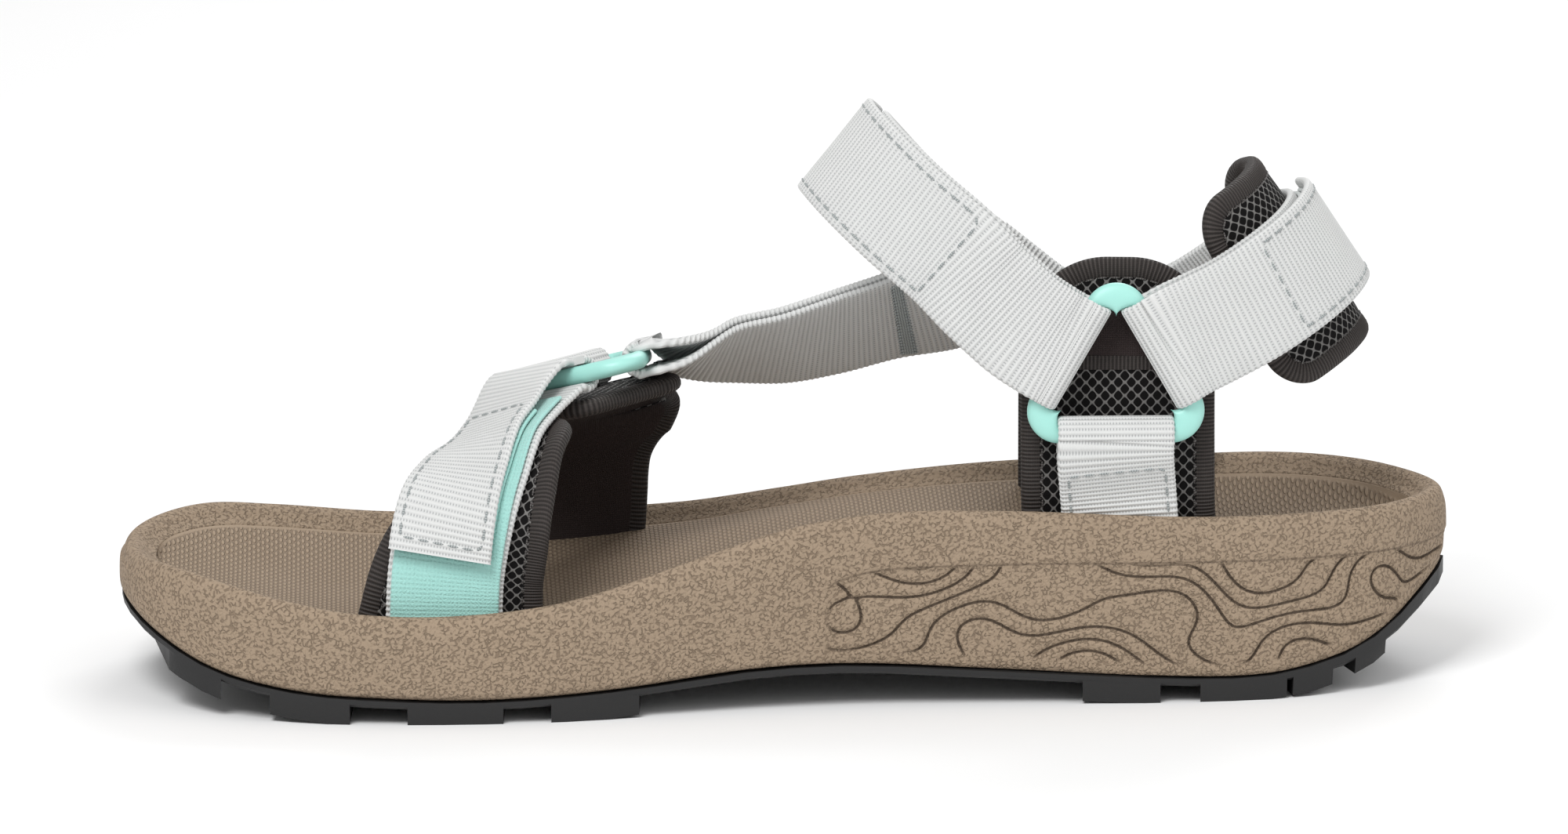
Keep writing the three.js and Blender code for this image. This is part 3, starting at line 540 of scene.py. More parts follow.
# %% Bands
class Band:
    """A curve through stations, each a point and a width direction, with u measured along it."""

    def __init__(self, stations, outward, bunched=lambda u: np.ones_like(u)):
        self.points = np.array([s[0] for s in stations], float)
        self.widths = unit(np.array([s[1] for s in stations], float))
        for i in range(1, len(self.widths)):
            self.widths[i] *= 1 if self.widths[i] @ self.widths[i - 1] > 0 else -1
        self.t = np.linspace(0, 1, 201)
        steps = np.linalg.norm(np.diff(spline(self.points, self.t), axis=0), axis=1)
        self.lengths = np.concatenate([[0], np.cumsum(steps)])
        self.length, self.bunched, self.side = self.lengths[-1], bunched, 1
        self.side = np.sign(self.frame(np.array([0.0]))[3][0] @ np.array(outward, float))

    def frame(self, u):
        """The point, the direction along, the direction across and the normal at each u."""
        inside = np.clip(u, 0, self.length)
        t = np.interp(inside, self.lengths, self.t)
        low, high = np.clip(t - 1e-4, 0, 1), np.clip(t + 1e-4, 0, 1)
        tangent = unit(spline(self.points, high) - spline(self.points, low))
        width = spline(self.widths, t)
        width = unit(width - tangent * np.sum(width * tangent, axis=-1, keepdims=True))
        normal = np.cross(tangent, width) * self.side
        point = spline(self.points, t) + tangent * (u - inside)[..., None]
        return point, tangent, width, normal

    def place(self, u, v, n):
        """The point v across and n out from u along the band."""
        u, v, n = np.broadcast_arrays(*(np.asarray(a, float) for a in (u, v, n)))
        point, _, width, normal = self.frame(u)
        return point + width * v[..., None] + normal * n[..., None]

    def where(self, point):
        """How far along the band a point on it lies."""
        u = np.arange(0, self.length, 0.05)
        return u[np.argmin(np.linalg.norm(self.frame(u)[0] - point, axis=1))]


straight = Band([((0, 0, 0), (0, 1, 0)), ((30, 0, 0), (0, 1, 0))], (0, 0, 1))
print("a straight band from 0 to 30 mm measures", round(straight.length, 2), "mm")

# %% [markdown]
# ## Where the bands run
# The stations are the plain model's own: each strap starts straight out from the middle of its
# ring, across one of the ring's three bars, and ends in the sole or at another ring.

# %% Driving dimensions
WEB_WIDTH, WEB_THICK = 23.2, 1.5
TAPE_WIDTH, TAPE_THICK = 20.0, 0.8
GAP = 0.3
RING_SIDE, RING_CORNER, RING_BAR = 22.4, 6.5, 3.6
BINDING_WIDTH = 5.2
BAR_MIDDLE = WEB_THICK / 2 + GAP + RING_BAR / 2
OVER_BAR = 2 * BAR_MIDDLE
SEWN_DOWN = WEB_THICK + GAP
LOOP_MIDDLE = WEB_THICK / 2 + GAP + TAPE_THICK / 2
HOOK_MIDDLE = LOOP_MIDDLE + TAPE_THICK + GAP
TAB_MIDDLE = HOOK_MIDDLE + TAPE_THICK / 2 + GAP + WEB_THICK / 2
FOLD_START = RING_SIDE / (2 * np.sqrt(3)) + RING_CORNER - RING_BAR / 2
print("a tab's middle lies", round(TAB_MIDDLE, 2), "mm over its strap's middle")


# %% Ring frames
class Ring:
    """A ring's middle, its outward normal n, and toward(angle), the direction of a bar or corner."""

    def __init__(self, centre, normal, right, turn):
        self.n = unit(np.array(normal, float))
        x = np.array(right, float)
        self.x = unit(x - self.n * (x @ self.n))
        self.y = np.cross(self.n, self.x)
        self.middle, self.turn = np.array(centre, float), turn
        self.inner = self.middle - self.n * BAR_MIDDLE

    def toward(self, degrees):
        a = np.radians(np.asarray(degrees, float) + self.turn)[..., None]
        return self.x * np.cos(a) + self.y * np.sin(a)

    def leave(self, degrees, shift=0.0):
        out = self.toward(degrees)
        across = np.cross(out, self.n)
        return [(self.inner + out * d + across * shift, across) for d in (0, 4, 8, 12, 16)]


inner_ring = Ring((65, -31.2, 66.2), (0, -1, 0.04), (1, 0, 0), 0)
outer_ring = Ring((68, 31, 56.5), (0, 1, 0), (-1, 0, 0), 0)
front_ring = Ring((-39.6, 5.5, 60.6), (-0.23, 0.18, 0.95), (1, 0, 0), 86)
INSIDE, OUTSIDE, UP = (0, -1, 0), (0, 1, 0), (0, 0, 1)
print("ring middles in mm:", [r.middle.tolist() for r in (inner_ring, outer_ring, front_ring)])

# %% The straps' bands
toe_band = Band([
    ((-69, -37.6, 6), (1, 0, 0)), ((-69, -38, 18), (1, 0, 0)), ((-68.4, -37, 29.6), (1, -0.02, 0)),
    ((-66, -33.6, 39.4), (0.97, -0.2, 0.02)), ((-61.6, -26.6, 46.2), (0.88, -0.38, 0.23)),
    ((-56.4, -18.4, 51.4), (0.78, -0.42, 0.46)), *front_ring.leave(150, 2.2)[::-1],
], INSIDE, profile([(52, 1), (66, 0.88)]))
outer_front_band = Band([
    ((-29.6, -21, 59.6), (0.88, 0.42, 0.2)), ((-32.6, -11.8, 60.8), (0.88, 0.44, 0.12)),
    *front_ring.leave(30), ((-47.8, 28, 48.8), (0.96, 0.25, 0.1)), ((-46.6, 34.6, 40), (1, 0.08, 0.02)),
    ((-44.6, 37, 28.6), (1, 0, 0)), ((-44, 37.2, 17), (1, 0, 0)), ((-44, 37.2, 7), (1, 0, 0)),
], UP, profile([(42, 0.86), (58, 1)]))
diagonal_band = Band([
    *front_ring.leave(270, -2.2), ((-11.6, 11.4, 62.6), (0.05, 0.8, -0.6)),
    ((0.4, 14.2, 63.2), (0.04, 0.68, -0.73)), ((12.4, 18.2, 65.2), (-0.06, 0.56, -0.83)),
    ((24, 20.8, 68), (-0.16, 0.5, -0.86)), ((34.4, 20.6, 70.6), (-0.24, 0.42, -0.88)),
], UP, profile([(15, 0.88), (30, 1)]))
instep_band = Band([
    *inner_ring.leave(150), ((46, -28, 77.8), (0.52, -0.02, 0.85)),
    ((39.2, -26.8, 84), (0.54, -0.02, 0.84)), ((33, -25, 90.4), (0.55, -0.04, 0.83)),
    ((24.4, -20, 97.2), (0.58, -0.04, 0.82)),
    ((17.2, -11.6, 103), (0.6, -0.02, 0.8)), ((13.6, -0.5, 105.4), (0.62, 0, 0.785)),
    ((16, 10.6, 101), (0.64, 0, 0.77)), ((23, 19.6, 92), (0.66, 0.02, 0.75)),
    ((32, 25.6, 82.8), (0.66, 0.03, 0.75)), ((42.8, 28.2, 73.6), (0.62, 0.02, 0.78)),
    *outer_ring.leave(30)[::-1],
], INSIDE)
heel_band = Band([
    *inner_ring.leave(30), ((88.6, -27, 78.6), (-0.48, 0, 0.87)), ((97, -23, 83), (-0.5, 0, 0.86)),
    ((103.6, -15.6, 86.4), (-0.52, 0, 0.85)), ((107.2, -5.8, 88), (-0.54, 0, 0.84)),
    ((107.6, 5, 87.4), (-0.55, 0, 0.83)), ((104.4, 14.4, 84.4), (-0.56, 0, 0.82)),
    ((98.6, 21.8, 77.4), (-0.56, 0, 0.82)), ((91, 26.6, 70.6), (-0.55, 0, 0.83)),
    *outer_ring.leave(150)[::-1],
], INSIDE)
inner_ankle_band = Band([
    *inner_ring.leave(270), ((66, -27.7, 39), (1, 0, 0)), ((66.4, -26.8, 28), (1, 0, 0)),
    ((66.4, -26.6, 16), (1, 0, 0)),
], INSIDE)
outer_ankle_band = Band([
    *outer_ring.leave(270), ((68, 27.4, 29), (1, 0, 0)), ((68, 27.2, 16), (1, 0, 0)),
], OUTSIDE)
inner_pad_band = Band([
    ((66.4, -26.6, 16), (1, 0, 0)), ((66.4, -26.8, 28), (1, 0, 0)), ((66, -27.6, 39), (1, 0, 0)),
    ((65.8, -28.2, 53), (1, 0, 0)), ((65.8, -27.6, 67), (1, 0, 0)), ((66, -26.2, 79), (1, 0, 0)),
    ((66.2, -23.8, 91), (1, 0, 0)),
], INSIDE)
outer_pad_band = Band([
    ((68, 27.2, 16), (1, 0, 0)), ((68, 27.4, 29), (1, 0, 0)), ((68, 28, 41), (1, 0, 0)),
    ((68, 28, 56), (1, 0, 0)), ((68, 26.8, 68), (1, 0, 0)), ((68, 24.4, 79), (1, 0, 0)),
], OUTSIDE)
front_centre = outer_front_band.where(front_ring.inner)
print("instep strap runs", round(instep_band.length, 1), "mm from ring to ring")

# %% [markdown]
# ## The sole
# The midsole is one closed skin. Its rows are copies of the outline, drawn in and raised: up the
# wall, over the rim, down to the footbed, and in to the line down the middle, where the two
# halves meet. The rows between the chosen ones come from the same spline as the curves, taken
# through whole rows at once. The heel half of the wall steps in under a ledge, and height lines
# like a hiking map's are engraved below it.

# %% Sole curves
OUTLINE = [
    (-134, -4), (-129.5, -24), (-116, -38), (-96, -45), (-72, -47), (-46, -45.5), (-18, -40),
    (12, -35.5), (44, -34), (76, -33.5), (102, -30), (123, -19.5),
    (134, 0),
    (123, 20), (102, 30.5), (76, 34), (44, 36), (12, 40), (-18, 44.5), (-46, 47), (-72, 44.5),
    (-96, 40), (-117, 31.5), (-130.5, 15.5),
]
underside = profile([
    (-134, 19), (-117, 10.5), (-100, 6.6), (-80, 5.2), (-60, 4.8), (-32, 6.2), (-8, 8.6),
    (12, 9), (40, 7.4), (71, 5.6), (95, 5.2), (111, 8.2), (120, 12.4), (128, 18.5), (134, 23),
])
inner_rim = profile([
    (-134, 28), (-124, 29), (-112, 27), (-100, 24.4), (-86, 22.2), (-68, 21.8), (-48, 23.6),
    (-32, 27.4), (-16, 32.6), (2, 38), (22, 40.4), (44, 40), (78, 38), (98, 37.6), (134, 37),
])
outer_rim = profile([
    (-134, 28), (-118, 28.8), (-104, 27), (-80, 23.8), (-46, 23.2), (-20, 25), (0, 28.4),
    (18, 31.4), (47, 34.8), (88, 37), (108, 38), (134, 37.6),
])
footbed_middle = profile([
    (-134, 25.5), (-116, 21.5), (-92, 18), (-64, 17.4), (-40, 19.6), (-20, 23.6), (4, 28.6),
    (30, 30.6), (60, 29.6), (92, 28.6), (134, 30),
])
FOOTBED_INSET, FOOTBED_THICK = 7.5, 4.7
EDGE_DROP = 3.2  # from the rim's crest down to the footbed's edge


def half_steps(coarse, fine):
    """Outline parameters from toe to heel on the inner side, closer together towards the heel."""
    return np.concatenate([np.linspace(0, 0.27, coarse, endpoint=False), np.linspace(0.27, 0.5, fine)])


def whole_steps(half):
    """The same steps back along the outer side, so that point i faces point -i."""
    return np.concatenate([half, 1 - half[-2:0:-1]])


def outline_ring(t, inset):
    """The outline, drawn in by inset at right angles to itself."""
    p = spline(OUTLINE, t, closed=True)
    d = unit(spline(OUTLINE, (t + 1e-4) % 1, closed=True) - spline(OUTLINE, (t - 1e-4) % 1, closed=True))
    return p + np.stack([-d[:, 1], d[:, 0]], axis=1) * inset


def rim_height(p):
    """The rim's height, from the inner profile to the outer one over 80 mm of width."""
    inner, outer = inner_rim(p[:, 0]), outer_rim(p[:, 0])
    return inner + (outer - inner) * np.clip(p[:, 1] / 80 + 0.5, 0, 1)


def row(t, inset, share, lift=0.0):
    """One row of the sole's skin: share of the way from the underside to the rim, plus lift."""
    p = outline_ring(t, inset)
    low = underside(p[:, 0])
    return np.column_stack([p, low + (rim_height(p) - low) * share + lift])


def drawn_in(ring, share, height):
    """A row of ring's points moved towards those opposite them, share = 1 being half-way."""
    other = np.roll(ring[::-1], 1, axis=0)
    p = ring + (other - ring) * share / 2
    p[:, 2] = height(p, ring, other, share)
    return p


def dished(drop):
    """The footbed's height: edge to edge, dipping to its own curve down the middle."""
    def height(p, a, b, share):
        s = 1 - share
        edge = a[:, 2] * (1 + s) / 2 + b[:, 2] * (1 - s) / 2
        middle = np.minimum(footbed_middle(p[:, 0]) - drop, edge)
        return middle + (edge - middle) * np.abs(s) ** 2.2
    return height


toe_to_heel = outline_ring(whole_steps(half_steps(99, 99)), 0)[:, 0]
print("the outline is", round(np.ptp(toe_to_heel), 1), "mm long")

# %% Engraved lines
LEDGE_HEIGHT = profile([(4, 22), (10, 26.4), (24, 28.6), (100, 28.8), (134, 28.2)])


def map_field(along, up):
    """A slow mixture of waves, whose whole numbers are the lines, and its slope per millimetre."""
    field = (up / 5.6 + 1.15 * np.sin(along / 13 + 0.6) + 0.55 * np.sin(along / 6.1 - up / 6 + 1)
             + 0.5 * np.sin(up / 3.1 + along / 8.7 + 2) + 0.22 * np.sin(along / 3.3 + 1))
    d_along = np.gradient(field, axis=1) / np.gradient(along, axis=1)
    d_up = np.gradient(field, axis=0) / np.gradient(up, axis=0)
    return field, np.maximum(np.hypot(d_along, d_up), 0.03)


def carve(wall, along):
    """How far the wall moves in: 0.45 mm under the ledge, and 0.55 mm more in the engraved lines."""
    x, z = wall[..., 0], wall[..., 2]
    below = smooth((LEDGE_HEIGHT(x) - z) / 0.9)
    region = below * smooth((x - 6.5) / 2.5)
    level, slope = map_field(np.broadcast_to(along, x.shape), z)
    marked = region * smooth((z - underside(x) - 2.2) / 1.2)
    line = (1 - smooth((np.abs(level - np.round(level)) / slope - 0.1) / 0.5)) * marked
    under, begun = LEDGE_HEIGHT(x) - z, smooth((x - 6.5) / 3)
    groove = np.clip(line + np.exp(-((under / 0.4) ** 2)) * begun * 0.5, 0, 1)
    marks = {"level": level, "slope": slope, "marked": marked, "under": under, "begun": begun}
    return region * 0.45 + groove * 0.55, marks


print("at the heel the ledge is", round(float(LEDGE_HEIGHT(100.0)), 1), "mm high")

# %% Midsole
WALL_ROWS = [  # inset from the outline, share of the wall's height, and lift above it
    (1.5, 0, 0.1), (0.35, 0, 1.1), (0.05, 0.2, 0), (0, 0.45, 0), (0.15, 0.7, 0), (0.6, 1, -2.3),
    (1.35, 1, -0.6), (2.6, 1, 0), (4.4, 1, -0.75), (6.0, 1, -2.2), (7.5, 1, -EDGE_DROP),
]
WIDEST = 3  # the row on the outline itself


def midsole():
    """Rows from the middle of the underside, out, up the wall, over the rim and in to the middle."""
    t = whole_steps(half_steps(150, 380))
    chosen = np.stack([row(t, *values) for values in WALL_ROWS])
    share = np.concatenate([np.linspace(0, 0.1, 4, endpoint=False),
                            np.linspace(0.1, 0.5, 46, endpoint=False), np.linspace(0.5, 1, 24)])
    wall = spline(chosen.reshape(len(chosen), -1), share).reshape(len(share), len(t), 3)
    outer = chosen[WIDEST]
    steps = np.linalg.norm(np.diff(outer, axis=0, append=outer[:1]), axis=1)
    along = np.concatenate([[0], np.cumsum(steps)[:-1]])
    depth, marks = carve(wall, along)
    d = np.gradient(outer[:, :2], axis=0)
    inward = unit(np.stack([-d[:, 1], d[:, 0]], axis=1))
    rise = smooth((share - 0.02) / 0.05)[:, None] * smooth((0.62 - share) / 0.05)[:, None]
    wall[..., :2] += inward * (depth * rise)[..., None]
    rim = row(t, FOOTBED_INSET, 1, -EDGE_DROP - FOOTBED_THICK)
    under = [drawn_in(chosen[0], s, lambda p, *_: underside(p[:, 0]) + 0.1) for s in (1, 0.7, 0.35)]
    inside = [drawn_in(rim, s, dished(FOOTBED_THICK)) for s in (0.35, 0.7, 1)]
    rows = np.concatenate([under, wall, [rim], inside])
    marks["marked"] *= rise
    marks["begun"] *= rise
    margin = ((len(under), 1 + len(inside)), (0, 0))
    values = {key: np.pad(v, margin, "edge").ravel() for key, v in marks.items()}
    return make_piece("midsole_skin", rows.reshape(-1, 3), grid_faces(len(rows), len(t), wrap=True),
                      values=values, weld=True)


dress(midsole(), "foam", "foam", stands_for=["midsole"])


# %% [markdown]
# The footbed is a second foam sheet, glued into the midsole. Its border is smooth, and inside
# it the foot rests on moulded scales.

# %% Footbed
def footbed():
    """Rows drawn in from the edge to the middle line, above and below, with a rounded edge."""
    t = whole_steps(half_steps(180, 150))
    edge = row(t, FOOTBED_INSET + 0.15, 1, -EDGE_DROP)
    low = edge - np.array([0, 0, FOOTBED_THICK - 0.4])
    shares = np.concatenate([[0, 0.008], np.linspace(0.02, 1, 64)])
    top = np.stack([drawn_in(edge, s, dished(0)) for s in shares])
    top[0, :, 2] -= 0.35
    bottom = np.stack([drawn_in(low, s, dished(FOOTBED_THICK)) for s in (1, 0.6, 0.3, 0)])
    rows = np.concatenate([bottom, top])
    inset = np.linalg.norm(top[..., :2] - edge[None, :, :2], axis=2)
    textured = np.concatenate([np.zeros((len(bottom), len(t))), smooth((inset - 0.8) / 0.8)])
    return make_piece("footbed_skin", rows.reshape(-1, 3), grid_faces(len(rows), len(t), wrap=True),
                      values={"textured": textured.ravel()}, weld=True)


dress(footbed(), "footbed", "footbed", stands_for=["footbed"])


# %% [markdown]
# The outsole's blocks already have their true shape and place, so this piece is a copy of the
# plain one with its loose triangles joined and its moulded edges rounded.

# %% Outsole
def outsole():
    """A copy of the plain outsole, with its triangles joined and its edges bevelled by 0.45 mm."""
    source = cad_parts["outsole"].data
    work = bmesh.new()
    work.from_mesh(source)
    bmesh.ops.remove_doubles(work, verts=work.verts, dist=1e-6)
    bmesh.ops.dissolve_limit(work, angle_limit=np.radians(2), verts=work.verts, edges=work.edges)
    mesh = bpy.data.meshes.new("outsole_skin")
    work.to_mesh(mesh)
    work.free()
    made = bpy.data.objects.new("outsole_skin", mesh)
    bpy.context.collection.objects.link(made)
    bevel = made.modifiers.new("rounded", "BEVEL")
    bevel.width, bevel.segments, bevel.limit_method = 0.45 * MM, 2, "ANGLE"
    bevel.angle_limit = np.radians(40)
    bevel.harden_normals = True
    mesh.polygons.foreach_set("use_smooth", np.ones(len(mesh.polygons), dtype=bool))
    mesh.set_sharp_from_angle(angle=np.radians(40))
    return made


dress(outsole(), "rubber", "rubber", stands_for=["outsole"])


# %% [markdown]
# ## Rings
# Each ring is a triangle of round bar with broad, slightly flattened corners: the corners are
# what shows between the straps.

# %% Rings
EAR = 3.2  # how far a corner's inner side fills the hole
RING_SIDES = 20  # points round a ring's section


def ring_piece(name, ring, node):
    """A round section carried along three arcs. Its inner side fills each corner to a broad ear."""
    corner = RING_CORNER - RING_BAR / 2
    reach = RING_SIDE / np.sqrt(3)
    turn = np.linspace(-60, 60, 25)
    centres, radials, wide = [], [], []
    for degrees in (90, 210, 330):
        middle = ring.middle + ring.toward(degrees) * reach
        radial = ring.toward(degrees + turn)
        centres.append(middle + radial * corner)
        radials.append(radial)
        wide.append(np.cos(np.radians(turn) * 1.5) * EAR)
    centres, radials, wide = np.vstack(centres), np.vstack(radials), np.concatenate(wide)
    a = np.linspace(0, 2 * np.pi, RING_SIDES, endpoint=False)
    r_out = (RING_BAR / 2) * np.cos(a)[None] - wide[:, None] * (1 - np.cos(a)[None]) / 2
    n_out = (RING_BAR / 2) * np.sign(np.sin(a)) * np.abs(np.sin(a)) ** 0.85
    points = (centres[:, None] + radials[:, None] * r_out[..., None]
              + ring.n * np.broadcast_to(n_out, r_out.shape)[..., None])
    points = np.concatenate([points, points[:1]])
    faces = grid_faces(len(points), RING_SIDES, wrap=True)
    made = make_piece(name, points.reshape(-1, 3), faces, weld=True)
    return dress(made, "ring", "ring", stands_for=[node])


ring_piece("forefoot_ring_moulding", front_ring, "forefoot_ring")
ring_piece("ankle_inner_ring_moulding", inner_ring, "ankle_inner_ring")
ring_piece("ankle_outer_ring_moulding", outer_ring, "ankle_outer_ring")

# %% [markdown]
# ## Webbing
# A strap's side view is a path in u and n: along its band, round a ring's bar and back over
# itself. The woven section, with its rounded selvedges, is carried along that path, and swells
# and thins with every rib. The tabs are separate pieces that start on top of the ring's bar,
# where the strap's fold ends.

# %% Paths
FINE = RIB / 4  # between two cross-sections


def level(start, stop, height):
    """Path points from u = start to u = stop at a height, or at a function of u."""
    u = np.linspace(start, stop, max(2, int(abs(stop - start) / 0.7)))
    return np.column_stack([u, height(u) if callable(height) else np.full_like(u, height)])


def fold(centre, away):
    """The half turn round a bar: u = bar - away * r sin a, n = r (1 - cos a)."""
    a = np.linspace(0, np.pi, 26)[1:-1]
    return np.column_stack([centre + away * (FOLD_START - BAR_MIDDLE * np.sin(a)),
                            BAR_MIDDLE * (1 - np.cos(a))])


def settling(centre, rest, settle):
    """From over the bar down to rest, over settle millimetres."""
    return lambda u: OVER_BAR + (rest - OVER_BAR) * smooth((np.abs(u - centre) - FOLD_START) / settle)


def even(path, spacing):
    """The path's points, spaced evenly, and how far along it each is."""
    steps = np.linalg.norm(np.diff(path, axis=0), axis=1)
    keep = np.concatenate([[True], steps > 1e-6])
    path = path[keep]
    far = np.concatenate([[0], np.cumsum(np.linalg.norm(np.diff(path, axis=0), axis=1))])
    s = np.linspace(0, far[-1], max(3, int(round(far[-1] / spacing)) + 1))
    return np.column_stack([np.interp(s, far, path[:, k]) for k in range(path.shape[1])]), s


print("a fold round a bar has", len(fold(0, 1)), "points")

# %% Woven strap
FLAT, ROUND = 9, 5  # a section's points across each face, and round each selvedge


def woven(name, on, path, width=WEB_WIDTH, thick=WEB_THICK, rib=0.075, pitch=RIB, shift=0.0):
    """The section carried along the path. At s along it, thickness is t + 2 rib cos(2 pi s / pitch)."""
    path, s = even(path, FINE)
    d = unit(np.gradient(path, axis=0))
    half = width / 2 - thick / 2
    flat = np.linspace(-1, 1, FLAT) * half
    bend = np.linspace(np.pi / 2, -np.pi / 2, ROUND + 2)[1:-1]
    v = np.concatenate([flat, half + np.cos(bend) * thick / 2, flat[::-1],
                        -half - np.cos(bend) * thick / 2])
    h = thick * np.concatenate([np.full(FLAT, 0.5), np.sin(bend) / 2,
                                np.full(FLAT, -0.5), -np.sin(bend) / 2])
    swell = 1 + 2 * rib / thick * np.cos(2 * np.pi * s / pitch)
    h = h[None] * swell[:, None]
    across = v[None] * (1 + 0.006 * np.cos(2 * np.pi * s / pitch))[:, None]
    u = path[:, :1] - d[:, 1:] * h
    n = path[:, 1:] + d[:, :1] * h
    squeeze = on.bunched(path[:, 0])[:, None]
    points = on.place(u, across * squeeze + shift, n)
    uv = np.stack([np.broadcast_to(s[:, None], u.shape), np.broadcast_to(v[None], u.shape)], axis=2)
    count = len(v)
    last = (len(s) - 1) * count
    caps = [range(count), range(last + count - 1, last - 1, -1)]
    return make_piece(name, points.reshape(-1, 3), grid_faces(len(s), count, wrap=True), caps=caps,
                      uv=uv.reshape(-1, 2), sharp=60)


print("a strap's section has", 2 * (FLAT + ROUND), "points")


def fold_to_tab(start, centre, away):
    """A strap as far as the top of the bar, where its tab begins."""
    bar = centre + away * FOLD_START
    return np.vstack([level(start, bar, 0), fold(centre, away), level(bar, bar + away * 0.6, OVER_BAR)])


def sewn_back(centre, end, settle=14):
    """A strap that folds round the bar and is sewn down on itself as far as u = end."""
    bar = centre + FOLD_START
    over = level(bar, end, settling(centre, SEWN_DOWN, settle))
    return np.vstack([level(end, bar, 0), fold(centre, 1), over])


def ring_to_ring(on):
    """Sewn round the outer ring at the far end, and folded round the inner ring at u = 0."""
    bar = on.length - FOLD_START
    sewn = level(bar - 24, bar, settling(on.length, SEWN_DOWN, 12))
    return np.vstack([sewn, fold(on.length, -1)[::-1], fold_to_tab(bar, 0, 1)])


# %% Straps
toe_centre = toe_band.length
straps = {
    "toe_strap": (toe_band, fold_to_tab(6, toe_centre, -1)),
    "forefoot_outer_anchor": (outer_front_band, sewn_back(front_centre, outer_front_band.length - 3)),
    "diagonal_strap": (diagonal_band, sewn_back(0, diagonal_band.length)),
    "ankle_inner_anchor": (inner_ankle_band, sewn_back(0, inner_ankle_band.length - 6)),
    "ankle_outer_anchor": (outer_ankle_band, sewn_back(0, outer_ankle_band.length - 6, 7)),
    "instep_strap": (instep_band, ring_to_ring(instep_band)),
    "heel_strap": (heel_band, ring_to_ring(heel_band)),
}
for node, (on, path) in straps.items():
    dress(woven(node + "_weave", on, path), "webbing", "webbing", stands_for=[node])

# %% [markdown]
# ## Tabs
# Each tab is a woven piece from the top of the ring's bar to its end. The hook tape under it is given
# the tab's own body, and the loop tape stays on the strap.

# %% Tabs and tapes
ARCH_LONG, ARCH_HIGH = 15.0, 0.3
TABS = {
    "toe": dict(on=toe_band, centre=toe_centre, away=-1, end=26.0, width=20.6, shift=-1.6,
                tape="teal_tape", loop=(12, toe_centre - 20), loop_width=21.6,
                hook=(28, toe_centre - 26), hook_width=17.0),
    "instep": dict(on=instep_band, centre=0.0, away=1, end=86.0, width=WEB_WIDTH, shift=0.0,
                   tape="grey_tape", loop=(30, 98), loop_width=TAPE_WIDTH,
                   hook=(40, 84), hook_width=TAPE_WIDTH),
    "heel": dict(on=heel_band, centre=0.0, away=1, end=72.0, width=WEB_WIDTH, shift=0.0,
                 tape="grey_tape", loop=(28, 84), loop_width=TAPE_WIDTH,
                 hook=(36, 70), hook_width=TAPE_WIDTH),
}


def arched(centre):
    """The tab's height: settling, plus ARCH_HIGH sin^2 between the bar and the tapes."""
    def height(u):
        t = np.clip((np.abs(u - centre) - FOLD_START) / ARCH_LONG, 0, 1)
        return settling(centre, TAB_MIDDLE, ARCH_LONG)(u) + ARCH_HIGH * np.sin(np.pi * t) ** 2
    return height


BEND = (0.8, 5.5)  # distances past the top of the bar at which the hinge and free points lie
for key, tab in TABS.items():
    body, on, tape = key + "_tab_body", tab["on"], tab["tape"]
    centre, away = tab["centre"], tab["away"]
    path = level(centre + away * FOLD_START, tab["end"], arched(centre))
    made = woven(key + "_tab_weave", on, path, width=tab["width"], shift=tab["shift"])
    made.data.materials.append(finishes["webbing"])
    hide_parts(key + "_tab")
    hinge, free = (on.place(centre + away * (FOLD_START + far), 0, OVER_BAR) * MM for far in BEND)
    tuple(hinge)
    tuple(free)
    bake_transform(made)
    flat = dict(thick=TAPE_THICK, rib=0.03, pitch=0.8)
    path = level(*tab["loop"], LOOP_MIDDLE)
    loop = woven(key + "_loop_nap", on, path, width=tab["loop_width"], **flat)
    dress(loop, tape, tape, stands_for=[key + "_loop_tape"])
    path = level(*tab["hook"], HOOK_MIDDLE)
    hook = woven(key + "_hook_nap", on, path, width=tab["hook_width"], **flat)
    dress(hook, tape, tape, body, stands_for=[key + "_hook_tape"])

# %% [markdown]
# ## Stitches
# A run of stitches follows a line drawn in u and v. Each stitch is a small capsule, pressed a
# little into the cloth, and all the stitches of a seam are made as one array.


# %% Stitches
def constant(v):
    """A height or an edge that stays v all along."""
    return lambda u: 0 * u + v


STITCH_ROWS, STITCH_SIDES = 7, 6  # a capsule's sections, and the points round each


